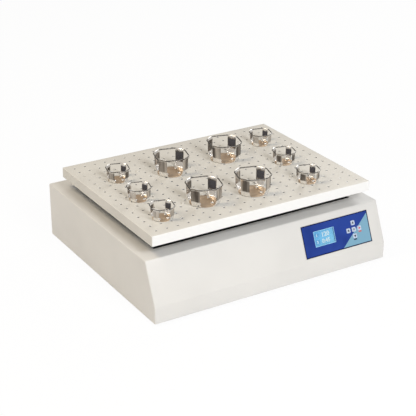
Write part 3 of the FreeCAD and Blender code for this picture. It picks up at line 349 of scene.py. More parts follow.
@dataclass(frozen=True)
class Steel:
    """Bare metal with drawn or turned streaks.

    Attributes:
        name: Name of the material.
        colour: Reflected tint.
        roughness: Mean roughness.
        grain: Streaks per metre along each axis.
        smear: Tint of faint handling marks.
        metallic: Share of bare metal.
    """

    name: str
    colour: Triple
    roughness: float
    grain: Triple
    smear: Triple = (0.30, 0.27, 0.24)
    metallic: float = 1.0

    def make(self) -> Material:
        """Build the material.

        Returns:
            The material.
        """
        shader = Shader(self.name)
        streak = shader.noise(1.0, 3.0, shader.stretched(self.grain))
        mark = shader.noise(45.0, 3.0)
        share = mark.eased(0.52, 0.85) * 0.45 + (streak - 0.5) * 0.25
        return shader.finished(
            Base_Color=shader.mixed(share, self.colour, self.smear),
            Roughness=self.roughness + (streak - 0.5) * 0.22 + mark.eased(0.55, 0.8) * 0.08,
            Metallic=self.metallic,
            Normal=shader.relief(streak, 0.01 * MM, 0.35),
        )


@dataclass(frozen=True)
class ArmSteel:
    """A clamp's arm with painted reflections: a bright painted reflection up to its knee, a painted
    highlight at its lip, and dark and pale painted reflection bands between them.

    Attributes:
        name: Name of the material.
        knee: Height of the knee in metres.
        lip: Height of the lip in metres.
        bright: Painted reflection tone below the knee, and painted highlight tone at the lip.
        painted_dark_reflection: Tone of the dark painted reflection bands between.
        painted_pale_reflection: Tone of the pale painted reflection bands between.
        wear_and_painted_shade: Tone of streaks and rubbed spots.
    """

    name: str
    knee: float
    lip: float
    bright: Triple = (0.86, 0.84, 0.81)
    painted_dark_reflection: Triple = (0.13, 0.115, 0.105)
    painted_pale_reflection: Triple = (0.64, 0.60, 0.56)
    wear_and_painted_shade: Triple = (0.5, 0.47, 0.44)

    def make(self) -> Material:
        """Build the material.

        Returns:
            The material.
        """
        shader = Shader(self.name)
        streak = shader.noise(1.0, 3.0, shader.stretched((260.0, 260.0, 25.0)))
        wear = shader.noise(120.0, 3.0)
        ragged = shader.axes()[2] + (wear - 0.5) * (4 * MM)
        # Painted reflections: bright below the knee and at the lip, dark and pale bands between; the bright
        # parts are less metallic so their tone shows.
        above = ragged.eased(self.knee - 1.5 * MM, self.knee + 2.5 * MM)
        above = above * (1.0 - ragged.eased(self.lip - 6 * MM, self.lip - 2 * MM))
        reflection_band = shader.noise(1.0, 1.0, shader.stretched((62.0, 62.0, 5.0))).eased(0.36, 0.64)
        tone = shader.mixed(above, self.bright, shader.mixed(reflection_band, self.painted_dark_reflection, self.painted_pale_reflection))
        return shader.finished(
            Base_Color=shader.mixed((streak - 0.5) * 0.5 + wear.eased(0.55, 0.8) * 0.2, tone, self.wear_and_painted_shade),
            Roughness=0.24 + above * 0.08 + (streak - 0.5) * 0.2,
            Metallic=0.55 + above * 0.45,
            Normal=shader.relief(streak, 0.01 * MM, 0.35),
        )


@dataclass(frozen=True)
class DarkReflectionPad:
    """Dark rubber with a fine grid of ribs, for the pads that stand in for a dark reflection on two arms.

    Attributes:
        name: Name of the material.
        colour: Rubber.
        rib: Spacing of the ribs in metres.
    """

    name: str
    colour: Triple
    rib: float = 2.2 * MM

    def make(self) -> Material:
        """Build the material, with ribs up the pad and across it, where the pads face 60 degrees off x.

        Returns:
            The material.
        """
        shader = Shader(self.name)
        x, y, z = shader.axes()
        pace = FULL_TURN / self.rib
        raised = ((x * 0.5 - y * 0.866) * pace).wave().most((z * pace).wave()).eased(0.1, 0.7)
        return shader.finished(
            Base_Color=shader.mixed(raised * 0.7, self.colour, shaded(self.colour, 2.4, 0.02)),
            Roughness=0.5 + shader.noise(200.0) * 0.15,
            Normal=shader.relief(raised, 0.2 * MM, 0.6),
        )


@dataclass(frozen=True)
class WarmSteel:
    """The clamp's floor: sheet that has taken a tan tone, paler and darker in clouds.

    Attributes:
        name: Name of the material.
        colour: Tone of the sheet.
        wear_and_painted_shade: Tone where flasks have rubbed it.
    """

    name: str
    colour: Triple
    wear_and_painted_shade: Triple

    def make(self) -> Material:
        """Build the material.

        Returns:
            The material.
        """
        shader = Shader(self.name)
        cloud, fine = shader.noise(38.0, 4.0), shader.noise(320.0)
        return shader.finished(
            Base_Color=shader.mixed(cloud.eased(0.35, 0.7), self.colour, self.wear_and_painted_shade),
            Roughness=0.3 + (fine - 0.5) * 0.2 + cloud * 0.12,
            Metallic=0.45,
            Normal=shader.relief(fine, 0.01 * MM, 0.4),
        )


@dataclass(frozen=True)
class Moulded:
    """Moulded plastic or rubber with a fine spark-eroded texture.

    Attributes:
        name: Name of the material.
        colour: Body colour.
        roughness: Mean roughness.
        grain: Pits per metre.
        depth: Depth of the pits in metres.
        dust: How much pale dust lies on it.
    """

    name: str
    colour: Triple
    roughness: float
    grain: float = 1500.0
    depth: float = 0.02 * MM
    dust: float = 0.06

    def make(self) -> Material:
        """Build the material.

        Returns:
            The material.
        """
        shader = Shader(self.name)
        pits = shader.add("ShaderNodeTexVoronoi", {}, {"Vector": shader.place(), "Scale": self.grain})
        cloud = shader.noise(30.0, 4.0)
        dusty = shaded(self.colour, 1 - 2 * self.dust, self.dust)
        return shader.finished(
            Base_Color=shader.mixed(cloud.eased(0.4, 0.8), self.colour, dusty),
            Roughness=self.roughness + (cloud - 0.5) * 0.2,
            Normal=shader.relief(pits, self.depth, 0.5),
        )


@dataclass(frozen=True)
class CastIron:
    """Machined casting: dark, grainy and half matt.

    Attributes:
        name: Name of the material.
        colour: Metal.
    """

    name: str
    colour: Triple

    def make(self) -> Material:
        """Build the material.

        Returns:
            The material.
        """
        shader = Shader(self.name)
        grit, stain = shader.noise(700.0, 5.0), shader.noise(25.0, 4.0)
        return shader.finished(
            Base_Color=shader.mixed(stain.eased(0.35, 0.75), self.colour, shaded(self.colour, 0.55)),
            Roughness=0.46 + (grit - 0.5) * 0.3,
            Metallic=0.8,
            Normal=shader.relief(grit, 0.05 * MM, 0.6),
        )


@dataclass(frozen=True)
class CircuitBoard:
    """Green solder mask over copper tracks.

    Attributes:
        name: Name of the material.
        mask: Green between the tracks.
        track: Green over copper.
        meshes: Meshes of the net of tracks per metre.
    """

    name: str
    mask: Triple = srgb(18, 84, 46)
    track: Triple = srgb(44, 128, 74)
    meshes: float = 150.0

    def make(self) -> Material:
        """Build the material.

        Returns:
            The material.
        """
        shader = Shader(self.name)
        sockets = {"Vector": shader.place(), "Scale": self.meshes}
        track = shader.add("ShaderNodeTexVoronoi", {"feature": "DISTANCE_TO_EDGE"}, sockets) < 0.09
        return shader.finished(
            Base_Color=shader.mixed(track, self.mask, self.track),
            Roughness=0.34 + shader.noise(90.0) * 0.12,
            Normal=shader.relief(track, 0.04 * MM, 0.5),
        )


@dataclass(frozen=True)
class Ink:
    """Printing ink, a little uneven.

    Attributes:
        name: Name of the material.
        colour: The ink.
    """

    name: str
    colour: Triple

    def make(self) -> Material:
        """Build the material.

        Returns:
            The material.
        """
        shader = Shader(self.name)
        blot = shader.noise(400.0, 3.0)
        thin = shaded(self.colour, 0.88, 0.12)
        return shader.finished(
            Base_Color=shader.mixed(blot.eased(0.45, 0.8), self.colour, thin), Roughness=0.4 + blot * 0.15
        )


@dataclass(frozen=True)
class PanelPrint:
    """The panel's printed face: royal blue, a pale wedge, a red bar and a dark border, with a painted shadow
    bar under the lowest key and a painted highlight along the edge.

    Attributes:
        panel: The panel that it is printed on.
        blue: The ground.
        deep: Its darker clouds.
        pale: The wedge.
        border_and_shadow_ink: The printed border, and the painted shadow bar under the lowest key.
        red: The bar under the right key.
        painted_edge_highlight: The painted highlight along the edge.
    """

    panel: "ControlPanel"
    blue: Triple = srgb(38, 66, 148)
    deep: Triple = srgb(30, 54, 130)
    pale: Triple = srgb(124, 168, 192)
    border_and_shadow_ink: Triple = srgb(14, 20, 58)
    red: Triple = srgb(206, 92, 84)
    painted_edge_highlight: Triple = srgb(218, 220, 224)

    def make(self) -> Material:
        """Build the material.

        Returns:
            The material.
        """
        panel = self.panel
        shader = Shader("panel_print")
        x, up = panel.slant(shader)
        face = shader.mixed(shader.noise(14.0).eased(0.35, 0.7), self.blue, self.deep)
        (foot_x, foot_up), (top_x, top_up) = panel.wedge
        below = (x - foot_x) * ((top_up - foot_up) / (top_x - foot_x)) + foot_up - up
        face = shader.mixed(below.eased(-0.2 * MM, 0.2 * MM), face, self.pale)
        edge = (x - panel.left).least(panel.right - x).least((up - panel.low).least(panel.high - up))
        face = shader.mixed(1.0 - edge.eased(2.7 * MM, 3.0 * MM), face, self.border_and_shadow_ink)
        # The dark bar under the lowest key is its painted shadow; the red bar is print.
        for (across, rise), ink in zip(panel.bars, (self.border_and_shadow_ink, self.red)):
            long = abs(x - (panel.keys[0] + across * panel.key_pitch)) < panel.bar_size[0] / 2
            tall = abs(up - (panel.keys[1] + rise * panel.key_pitch)) < panel.bar_size[1] / 2
            face = shader.mixed(long * tall, face, ink)
        # A pale line round the edge is a painted highlight where the edge catches light.
        face = shader.mixed(1.0 - edge.eased(0.2 * MM, 0.4 * MM), face, self.painted_edge_highlight)
        return shader.finished(
            Base_Color=face,
            Roughness=0.42 + shader.noise(80.0, 3.0) * 0.1,
            Specular_IOR_Level=0.15,
            Normal=shader.relief(shader.noise(500.0, 1.0), 0.01 * MM, 0.3),
        )


@dataclass(frozen=True)
class DisplayGlow:
    """The lit display: cyan-blue, paler to the right and to the foot, with two boxes and fine rows.

    Attributes:
        panel: The panel that the display stands in.
        strong: Its tone at the upper left.
        pale: Its tone at the lower right.
        box: Tone of the boxes.
        row: Tone of the rows.
        pitch: Spacing of the rows in metres.
    """

    panel: "ControlPanel"
    strong: Triple = srgb(62, 164, 222)
    pale: Triple = srgb(134, 206, 234)
    box: Triple = srgb(40, 120, 190)
    row: Triple = srgb(60, 130, 190)
    pitch: float = 0.7 * MM

    def make(self) -> Material:
        """Build the material.

        Returns:
            The material.
        """
        shader = Shader("display_glow")
        x, up = self.panel.slant(shader)
        left, right, low, high = self.panel.display
        across, rise = x.share(left, right), up.share(low, high)
        glow = shader.mixed((across * 0.5 + (1.0 - rise) * 0.4).least(1.0), self.strong, self.pale)
        boxes = across.within(0.08, 0.3) * rise.within(0.14, 0.42).most(rise.within(0.56, 0.84))
        glow = shader.mixed(boxes * 0.55, glow, self.box)
        rows = (up * (FULL_TURN / self.pitch)).wave() * 0.06 + 0.06
        glow = shader.mixed(rows, glow, self.row)
        return shader.finished(
            Base_Color=glow,
            Roughness=0.3 + shader.noise(60.0) * 0.05,
            Emission_Color=glow,
            Emission_Strength=0.12,
        )


@dataclass(frozen=True)
class DisplayWindow:
    """The clear window over the display.

    Attributes:
        clean: Tint of the window.
        smeared: Tint where it is smeared.
        alpha: How much it covers.
    """

    clean: Triple = srgb(150, 206, 232)
    smeared: Triple = srgb(166, 216, 238)
    alpha: float = 0.14

    def make(self) -> Material:
        """Build the material.

        Returns:
            The material.
        """
        shader = Shader("display_window")
        smear = shader.noise(40.0, 3.0)
        tint = shader.mixed(smear, self.clean, self.smeared)
        return shader.finished(Base_Color=tint, Roughness=0.06 + smear * 0.08, Alpha=self.alpha)


# Modelling


class Kind(Enum):
    """What an edit works on."""

    POINT = "VERT"
    EDGE = "EDGE"
    FACE = "FACE"


def select(*pieces: Piece) -> None:
    """Select these objects and nothing else, the first as the active one.

    Args:
        *pieces: The objects, none to deselect everything.
    """
    bpy.ops.object.select_all(action="DESELECT")
    for piece in pieces:
        piece.select_set(True)
        bpy.context.view_layer.objects.active = pieces[0]


def named(piece: Piece, name: str) -> Piece:
    """Give an object and its mesh one name."""
    piece.name = piece.data.name = name
    return piece


def started(name: str) -> Piece:
    """Name what was just added, and put its place into its mesh.

    Args:
        name: Name of the piece.

    Returns:
        The piece.
    """
    piece = named(bpy.context.object, name)
    select(piece)
    bpy.ops.object.transform_apply(location=True, rotation=True, scale=True)
    return piece


def added(name: str, primitive: Callable[..., set[str]], **settings: object) -> Piece:
    """Start a piece from a primitive, with nothing else selected.

    Args:
        name: Name of the piece.
        primitive: The operator that adds it.
        **settings: The operator's settings.

    Returns:
        The piece.
    """
    select()
    primitive(**settings)
    return started(name)


def block(name: str, low: Sequence[float], high: Sequence[float]) -> Piece:
    """Start a piece from a cube between two corners."""
    low, high = Vector(low), Vector(high)
    return added(name, bpy.ops.mesh.primitive_cube_add, size=1, location=(low + high) / 2, scale=high - low)


def rod(name: str, radius: float, low: float, high: float, sides: int) -> Piece:
    """Start a piece from an upright cylinder between two heights."""
    sizes = {"vertices": sides, "radius": radius, "depth": high - low, "location": (0, 0, (low + high) / 2)}
    return added(name, bpy.ops.mesh.primitive_cylinder_add, **sizes)


def flat_ring(name: str, radius: float, half_width: float) -> Piece:
    """Start a piece from a torus, and press it to a third of its height.

    Args:
        name: Name of the piece.
        radius: Radius of the ring's middle line.
        half_width: Half the ring's width.

    Returns:
        The ring at the origin.
    """
    sizes = {"major_radius": radius, "minor_radius": half_width, "major_segments": 24, "minor_segments": 8}
    ring = added(name, bpy.ops.mesh.primitive_torus_add, **sizes)
    ring.data.transform(Matrix.Diagonal((1, 1, 0.35, 1)))
    return ring


@contextmanager
def editing(piece: Piece) -> Iterator[None]:
    """Hold an object in edit mode.

    Args:
        piece: The object.

    Yields:
        Nothing; the object is in edit mode meanwhile.
    """
    select(piece)
    bpy.ops.object.mode_set(mode="EDIT")
    yield
    bpy.ops.object.mode_set(mode="OBJECT")


def pick(kind: Kind, test: Test) -> None:
    """Select what passes a test on the places of its points, in edit mode.

    Args:
        kind: Points, edges or faces.
        test: Takes the places of the points.
    """
    bpy.ops.mesh.select_mode(type=kind.value)
    bpy.ops.mesh.select_all(action="DESELECT")
    data = bpy.context.edit_object.data
    mesh = bmesh.from_edit_mesh(data)
    for item in {Kind.POINT: mesh.verts, Kind.EDGE: mesh.edges, Kind.FACE: mesh.faces}[kind]:
        item.select_set(test([item.co] if kind is Kind.POINT else [point.co for point in item.verts]))
    mesh.select_flush_mode()
    bmesh.update_edit_mesh(data)


def near(one: float, other: float) -> bool:
    """Whether two lengths are the same."""
    return abs(one - other) < SAME


def every(test: Callable[[Vector], bool]) -> Test:
    """A test that all the points have to pass."""
    return lambda places: all(test(place) for place in places)


def at_level(level: float) -> Test:
    """A test for what lies at one height."""
    return every(lambda place: near(place.z, level))


def runs(axis: int, length: float) -> Test:
    """A test for edges that reach further than a length along an axis."""
    return lambda places: abs(places[0][axis] - places[1][axis]) > length


def soften(width: float, segments: int = 2) -> None:
    """Bevel the selected edges."""
    bpy.ops.mesh.bevel(offset=width, offset_type="OFFSET", segments=segments, profile=0.5, affect="EDGES")


def soften_level(level: float, width: float, segments: int = 2) -> None:
    """Bevel the edges that lie at one height."""
    pick(Kind.EDGE, at_level(level))
    soften(width, segments)


def draw_out(x: float, y: float, z: float) -> None:
    """Extrude the selected edges by a move."""
    bpy.ops.mesh.extrude_edges_move(TRANSFORM_OT_translate={"value": (x, y, z)})


def push(depth: float) -> None:
    """Extrude the selected faces downwards."""
    bpy.ops.mesh.extrude_region_move(TRANSFORM_OT_translate={"value": (0, 0, -depth)})


def dish(first: float, second: float, depth: float) -> None:
    """Inset the selected faces twice, and sink what is left of them.

    Args:
        first: Width of the outer rim.
        second: Width of the slope.
        depth: How far the middle sinks.
    """
    bpy.ops.mesh.inset(thickness=first)
    bpy.ops.mesh.inset(thickness=second)
    bpy.ops.transform.translate(value=(0, 0, -depth))


def agree() -> None:
    """Turn the normals of the whole mesh the same way, in edit mode."""
    bpy.ops.mesh.select_all(action="SELECT")
    bpy.ops.mesh.normals_make_consistent(inside=False)


def turned_up(piece: Piece, level: float = math.inf) -> None:
    """Turn a skin over where its level faces below a height look down.

    Args:
        piece: The skin.
        level: The height.
    """
    flat = [face for face in piece.data.polygons if abs(face.normal.z) > 0.99 and face.center.z < level]
    if sum(face.normal.z for face in flat) < 0:
        with editing(piece):
            bpy.ops.mesh.select_all(action="SELECT")
            bpy.ops.mesh.flip_normals()


def applied(piece: Piece, kind: str, **settings: object) -> Piece:
    """Add a modifier and apply it.

    Args:
        piece: The object.
        kind: Blender's type of the modifier.
        **settings: Its properties.

    Returns:
        The object.
    """
    modifier = piece.modifiers.new(kind.title(), kind)
    for name, setting in settings.items():
        setattr(modifier, name, setting)
    select(piece)
    bpy.ops.object.modifier_apply(modifier=modifier.name)
    return piece


def thickened(piece: Piece, thickness: float, offset: float) -> Piece:
    """Give a skin its thickness, inwards at an offset of -1 and outwards at 1."""
    return applied(piece, "SOLIDIFY", thickness=thickness, offset=offset, use_even_offset=True)


def broken(piece: Piece, width: float) -> Piece:
    """Break the sharp edges of a piece."""
    limit = {"limit_method": "ANGLE", "angle_limit": math.radians(50)}
    return applied(piece, "BEVEL", width=width, segments=2, **limit)


def carved(piece: Piece, cutter: Piece) -> None:
    """Cut one object out of another, and throw the cutter away."""
    applied(piece, "BOOLEAN", operation="DIFFERENCE", solver="EXACT", object=cutter)
    bpy.data.objects.remove(cutter)


def joined(name: str, pieces: list[Piece]) -> Piece:
    """Join objects into the first of them.

    Args:
        name: Name of the whole.
        pieces: The objects.

    Returns:
        The whole.
    """
    select(*pieces)
    bpy.ops.object.join()
    return named(pieces[0], name)


def copied(piece: Piece, name: str, move: Matrix) -> Piece:
    """Copy a finished piece with its own mesh.

    Args:
        piece: What is copied.
        name: Name of the copy.
        move: Where the copy goes.

    Returns:
        The copy.
    """
    twin = piece.copy()
    twin.data = piece.data.copy()
    bpy.context.collection.objects.link(twin)
    twin.data.transform(move)
    return named(twin, name)


def spread(piece: Piece, moves: list[Matrix]) -> list[Piece]:
    """Set copies of a piece in its places, and drop the piece itself.

    Args:
        piece: What is copied.
        moves: Where the copies go.

    Returns:
        The copies.
    """
    copies = [copied(piece, f"{piece.name}_{number}", move) for number, move in enumerate(moves)]
    bpy.data.objects.remove(piece)
    return copies


def smoothed(piece: Piece, angle: float = 35.0) -> Piece:
    """Shade a piece smooth where its faces meet at less than an angle.

    Args:
        piece: The piece.
        angle: The angle in degrees.

    Returns:
        The piece.
    """
    select(piece)
    bpy.ops.object.shade_smooth_by_angle(angle=math.radians(angle))
    return piece


def dressed(piece: Piece, finish: Material) -> Piece:
    """Give a piece its finish.

    Args:
        piece: The piece.
        finish: The finish.

    Returns:
        The piece.
    """
    piece.data.materials.clear()
    piece.data.materials.append(finish)
    return piece


def dress(finish: Material, *nodes: str) -> None:
    """Give a finish to nodes that stay as they are."""
    for node in nodes:
        dressed(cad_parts[node], finish)


def handed(piece: Piece, body: str, slot: str, *nodes: str) -> None:
    """Let a finished piece ride on a body, and stand for CAD nodes.

    Args:
        piece: The piece.
        body: The body that it moves with.
        slot: The record's material slot; not used.
        *nodes: The nodes that it replaces.
    """
    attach(piece, body)
    if nodes:
        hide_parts(*nodes)
    log.info("%s: %d faces, rides on %s", piece.name, len(piece.data.polygons), body)


def middle_of(node: str) -> Vector:
    """Middle of a node's box."""
    low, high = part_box(node)
    return (low + high) / 2


def islands(source: Piece) -> list[tuple[Vector, Vector]]:
    """The boxes of a node's separate solids.

    Args:
        source: The node.

    Returns:
        Lowest and highest corner of each.
    """
    twin = bmesh.new()
    twin.from_mesh(source.data)
    bmesh.ops.remove_doubles(twin, verts=twin.verts, dist=SAME / 2)
    left = set(twin.verts)
    boxes = []
    while left:
        group, edge = [], [left.pop()]
        while edge:
            point = edge.pop()
            group.append(point.co.copy())
            beyond = {line.other_vert(point) for line in point.link_edges} & left
            left -= beyond
            edge += beyond
        boxes.append(tuple(Vector([end(axis) for axis in zip(*group)]) for end in (min, max)))
    twin.free()
    return sorted(boxes, key=lambda pair: tuple(round(part, 4) for part in pair[0]))


# The shaker


class Finishes:
    """The materials of the whole shaker, each made once."""

    def __init__(self) -> None:
        """Make them all, the metals with their streaks per metre along x, y and z."""
        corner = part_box("platform_tray")[1]
        # The tray's two tones are painted light: a bright one for the lit skirts, a darker one for painted
        # shade on the top and short sides.
        painted_lit_tone, wear_and_painted_shade = srgb(239, 239, 238), srgb(216, 214, 208)
        self.housing = PowderCoat("housing_powder_coat", srgb(222, 221, 218), 0.4).make()
        self.platform = TrayCoat("tray_powder_coat", painted_lit_tone, wear_and_painted_shade, corner.z, corner.x).make()
        # The well's black paint is partly painted shade: it makes the gap under the tray read as a dark
        # slit.
        self.well = PowderCoat("well_black_coat", srgb(26, 26, 28), 0.5, peel=420.0).make()
        self.pan = PowderCoat("pan_grey_coat", srgb(150, 150, 150), 0.5).make()
        self.frame = PowderCoat("frame_slate_coat", srgb(84, 88, 94), 0.5).make()
        self.motor = PowderCoat("motor_black_coat", srgb(38, 38, 41), 0.38).make()
        soft = {"grain": 900.0, "depth": 0.04 * MM, "dust": 0.12}
        self.rubber = Moulded("foot_rubber", srgb(34, 34, 35), 0.72, **soft).make()
        self.belt = Moulded("belt_rubber", srgb(28, 28, 29), 0.66, grain=1300.0).make()
        self.black = Moulded("black_moulding", srgb(26, 26, 27), 0.42).make()
        fine = {"grain": 1900.0, "depth": 0.008 * MM, "dust": 0.03}
        self.cap = Moulded("key_cap", srgb(192, 206, 228), 0.36, **fine).make()
        self.sign = Moulded("rocker_sign_white", srgb(214, 216, 212), 0.4, dust=0.03).make()
        self.iron = CastIron("bearing_iron", (0.16, 0.16, 0.17)).make()
        self.board = CircuitBoard("circuit_board").make()
        # Dark pads on two arms stand in for a dark reflection on them: painted reflection made as pieces.
        self.pad = DarkReflectionPad("grip_pad", srgb(48, 48, 54)).make()
        self.floor = WarmSteel("clamp_floor_steel", srgb(198, 175, 148), srgb(182, 159, 135)).make()
        dark, darker = (0.15, 0.14, 0.13), (0.07, 0.06, 0.06)
        self.wire = Steel("hoop_wire", dark, 0.34, (700.0, 700.0, 40.0), darker).make()
        self.shaft = Steel("turned_shaft", (0.55, 0.55, 0.56), 0.22, (30.0, 30.0, 1800.0)).make()
        self.pulley = Steel("turned_aluminium", (0.74, 0.74, 0.76), 0.32, (60.0, 60.0, 1500.0)).make()
        self.sheet = Steel("plain_aluminium", (0.72, 0.73, 0.74), 0.36, (900.0, 40.0, 900.0)).make()
        # The screws' near-white, half-metallic base is a painted highlight, so that the heads read as white
        # spots.
        bright, rubbed, even = (0.94, 0.94, 0.94), (0.8, 0.8, 0.8), (300.0, 300.0, 300.0)
        self.screw = Steel("bright_screw", bright, 0.16, even, rubbed, metallic=0.55).make()


@dataclass
class Housing:
    """The painted cover with its lip, slanted front and softened folds, and the feet.

    Attributes:
        lip_top: Height at which the slant starts.
        top_front: Where the slant meets the top.
        sheet: Thickness of the sheet.
        fold: Radius of the folded edges.
        well_flange: How far the drive well reaches under the top round the recess.
        panel_flange: How far the control panel reaches behind the slant at each side.
        panel_low: Foot of the panel's opening, up the slant.
        panel_high: Top of the opening.
        play: Gap round the panel.
        foot_radius: Radius of a foot.
        foot_round: Rounding of its lower rim.
        foot_seat: Rounding of its upper rim.
    """

    lip_top: float = 48.5 * MM
    top_front: float = -250 * MM
    sheet: float = 2 * MM
    fold: float = 3 * MM
    well_flange: float = 14 * MM
    panel_flange: float = 7 * MM
    panel_low: float = 12 * MM
    panel_high: float = 97 * MM
    play: float = 0.4 * MM
    foot_radius: float = 20 * MM
    foot_round: float = 2.2 * MM
    foot_seat: float = 0.8 * MM

    def plane(self) -> Matrix:
        """The slant's own frame: x across, y up the slant, z out of it, from the middle of its foot.

        Returns:
            The frame.
        """
        low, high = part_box("housing_cover")
        across = Vector((1, 0, 0))
        up = Vector((0, self.top_front - low.y, high.z - self.lip_top)).normalized()
        turn = Matrix((across, up, across.cross(up))).transposed().to_4x4()
        return Matrix.Translation((0, low.y, self.lip_top)) @ turn

    def cover(self) -> Piece:
        """Fold the cover out of a block, and cut the recess and the panel's opening.

        Returns:
            The cover.
        """
        low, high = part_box("housing_cover")
        plane = self.plane()
        foot, rear = at_level(low.z), every(lambda place: near(place.y, high.y))
        cover = block("cover_sheet", low, high)
        with editing(cover):
            bpy.ops.mesh.select_all(action="SELECT")
            out = plane.to_3x3() @ Vector((0, 0, 1))
            bpy.ops.mesh.bisect(plane_co=plane.translation, plane_no=out, use_fill=True, clear_outer=True)
            pick(Kind.EDGE, lambda places: not foot(places) and not rear(places))
            soften(self.fold, 4)
            pick(Kind.FACE, lambda places: foot(places) or rear(places))
            bpy.ops.mesh.delete(type="FACE")
        thickened(cover, self.sheet, -1.0)
        inset = Vector((self.well_flange, self.well_flange, 0))
        well_low, well_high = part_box("drive_well")
        well_low.z, well_high.z = high.z - 3 * self.sheet, high.z + self.sheet
        carved(cover, block("recess_cutter", well_low + inset, well_high - inset))
        panel_low, panel_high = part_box("control_panel")
        reach = self.panel_flange - self.play
        opening = block(
            "panel_cutter",
            (panel_low.x + reach, self.panel_low - self.play, -3 * self.sheet),
            (panel_high.x - reach, self.panel_high + self.play, 2 * self.sheet),
        )
        opening.data.transform(plane)
        carved(cover, opening)
        return smoothed(cover, 40)

    def feet(self) -> Piece:
        """Turn four rubber feet with soft rims.

        Returns:
            The feet as one piece.
        """
        low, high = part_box("rubber_feet")
        radius = self.foot_radius
        foot = rod("foot", radius, low.z, high.z, 40)
        with editing(foot):
            soften_level(low.z, self.foot_round, 3)
            soften_level(high.z, self.foot_seat)
        across, along = (low.x + radius, high.x - radius), (low.y + radius, high.y - radius)
        moves = [Matrix.Translation((x, y, 0)) for x in across for y in along]
        return joined("soft_feet", spread(smoothed(foot), moves))

    def build(self, finishes: Finishes) -> None:
        """Make the housing's outer pieces, and dress the nodes that stay.

        Args:
            finishes: The shaker's materials.
        """
        handed(dressed(self.cover(), finishes.housing), "housing", "housing_paint", "housing_cover")
        handed(dressed(self.feet(), finishes.rubber), "housing", "foot_rubber", "rubber_feet")
        dress(finishes.housing, "rear_panel")
        dress(finishes.pan, "base_pan")
        dress(finishes.well, "drive_well")


@dataclass
class Tray:
    """The perforated tray with its turned-down skirt.

    Attributes:
        pitch: Spacing of the holes.
        radius: Radius of a hole.
        sheet: Thickness of the sheet.
        columns: Holes across.
        rows: Holes from back to front.
        fold: Radius of the folded rim.
        sink: Width of the countersink round a hole.
        slope: Depth of the countersink, as a share of its width.
        sides: Sides of a hole.
    """

    pitch: float = 30 * MM
    radius: float = 3 * MM
    sheet: float = 2.5 * MM
    columns: int = 21
    rows: int = 16
    fold: float = 2.6 * MM
    sink: float = 0.9 * MM
    slope: float = 0.7
    sides: int = 16

    def cell(self, place: Vector) -> Piece:
        """Punch one square cell of the sheet, and countersink its hole.

        Args:
            place: Middle of the hole, on the sheet's top.

        Returns:
            The cell.
        """
        cuts, reach = self.sides // 4, self.radius + self.sink
        square = {"x_subdivisions": cuts, "y_subdivisions": cuts, "size": self.pitch, "location": place}
        cell = added("perforated_tray", bpy.ops.mesh.primitive_grid_add, **square)
        inner = 0.45 * self.pitch
        with editing(cell):
            pick(Kind.POINT, every(lambda p: abs(p.x - place.x) < inner and abs(p.y - place.y) < inner))
            bpy.ops.mesh.delete(type="VERT")
            bpy.ops.mesh.primitive_circle_add(vertices=self.sides, radius=reach, location=place)
            pick(Kind.EDGE, lambda places: True)
            bpy.ops.mesh.bridge_edge_loops()
            pick(Kind.EDGE, every(lambda p: near((p - place).length, reach)))
            draw_out(0, 0, -self.sink * self.slope)
            scale = self.radius / reach
            bpy.ops.transform.resize(value=(scale, scale, 1), center_override=place)
            agree()
        return cell

    def skin(self) -> Piece:
        """Repeat the cell, and draw the rim out to the tray's edge and down.

        Returns:
            The tray's upper skin with its skirt.
        """
        low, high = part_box("platform_tray")
        half = (high - low) / 2
        middle = middle_of("platform_tray")
        middle.z = high.z
        first = Vector((self.columns - 1, self.rows - 1, 0)) * (self.pitch / 2)
        tray = self.cell(middle - first)
        offset = {"use_relative_offset": False, "use_constant_offset": True}
        merge = {"use_merge_vertices": True, "merge_threshold": SAME}
        for count, step in ((self.columns, (self.pitch, 0, 0)), (self.rows, (0, self.pitch, 0))):
            applied(tray, "ARRAY", count=count, constant_offset_displace=step, **offset, **merge)

        def aside(axis: int, reach: float) -> Test:
            """A test for what lies that far from the tray's middle along an axis."""
            return every(lambda p: near(abs(p[axis] - middle[axis]), reach))

        def on_outline(x_half: float, y_half: float) -> Test:
            """A test for edges at the tray's top, on the outline of a rectangle about its middle."""
            on_top, beside, before = at_level(high.z), aside(0, x_half), aside(1, y_half)
            return lambda places: on_top(places) and (beside(places) or before(places))

        x_half, y_half = self.pitch * self.columns / 2, self.pitch * self.rows / 2
        with editing(tray):
            pick(Kind.EDGE, on_outline(x_half, y_half))
            bpy.ops.mesh.extrude_edges_move()
            bpy.ops.transform.resize(value=(half.x / x_half, half.y / y_half, 1), center_override=middle)
            draw_out(0, 0, low.z - high.z)
            agree()
            rim, beside, before = on_outline(half.x, half.y), aside(0, half.x), aside(1, half.y)
            pick(Kind.EDGE, lambda places: rim(places) or (beside(places) and before(places)))
            soften(self.fold, 4)
        return tray

    def build(self, finishes: Finishes) -> None:
        """Make the tray, and dress what hangs under it.

        Args:
            finishes: The shaker's materials.
        """
        tray = self.skin()
        turned_up(tray)
        thickened(tray, self.sheet, -1.0)
        handed(dressed(smoothed(tray, 30), finishes.platform), "platform", "platform_paint", "platform_tray")
        dress(finishes.frame, "platform_carrier")
        dress(finishes.iron, "pin_bearings")


class ClampSize(Enum):
    """The two sizes of flask clamp."""

    LARGE = "large"
    SMALL = "small"


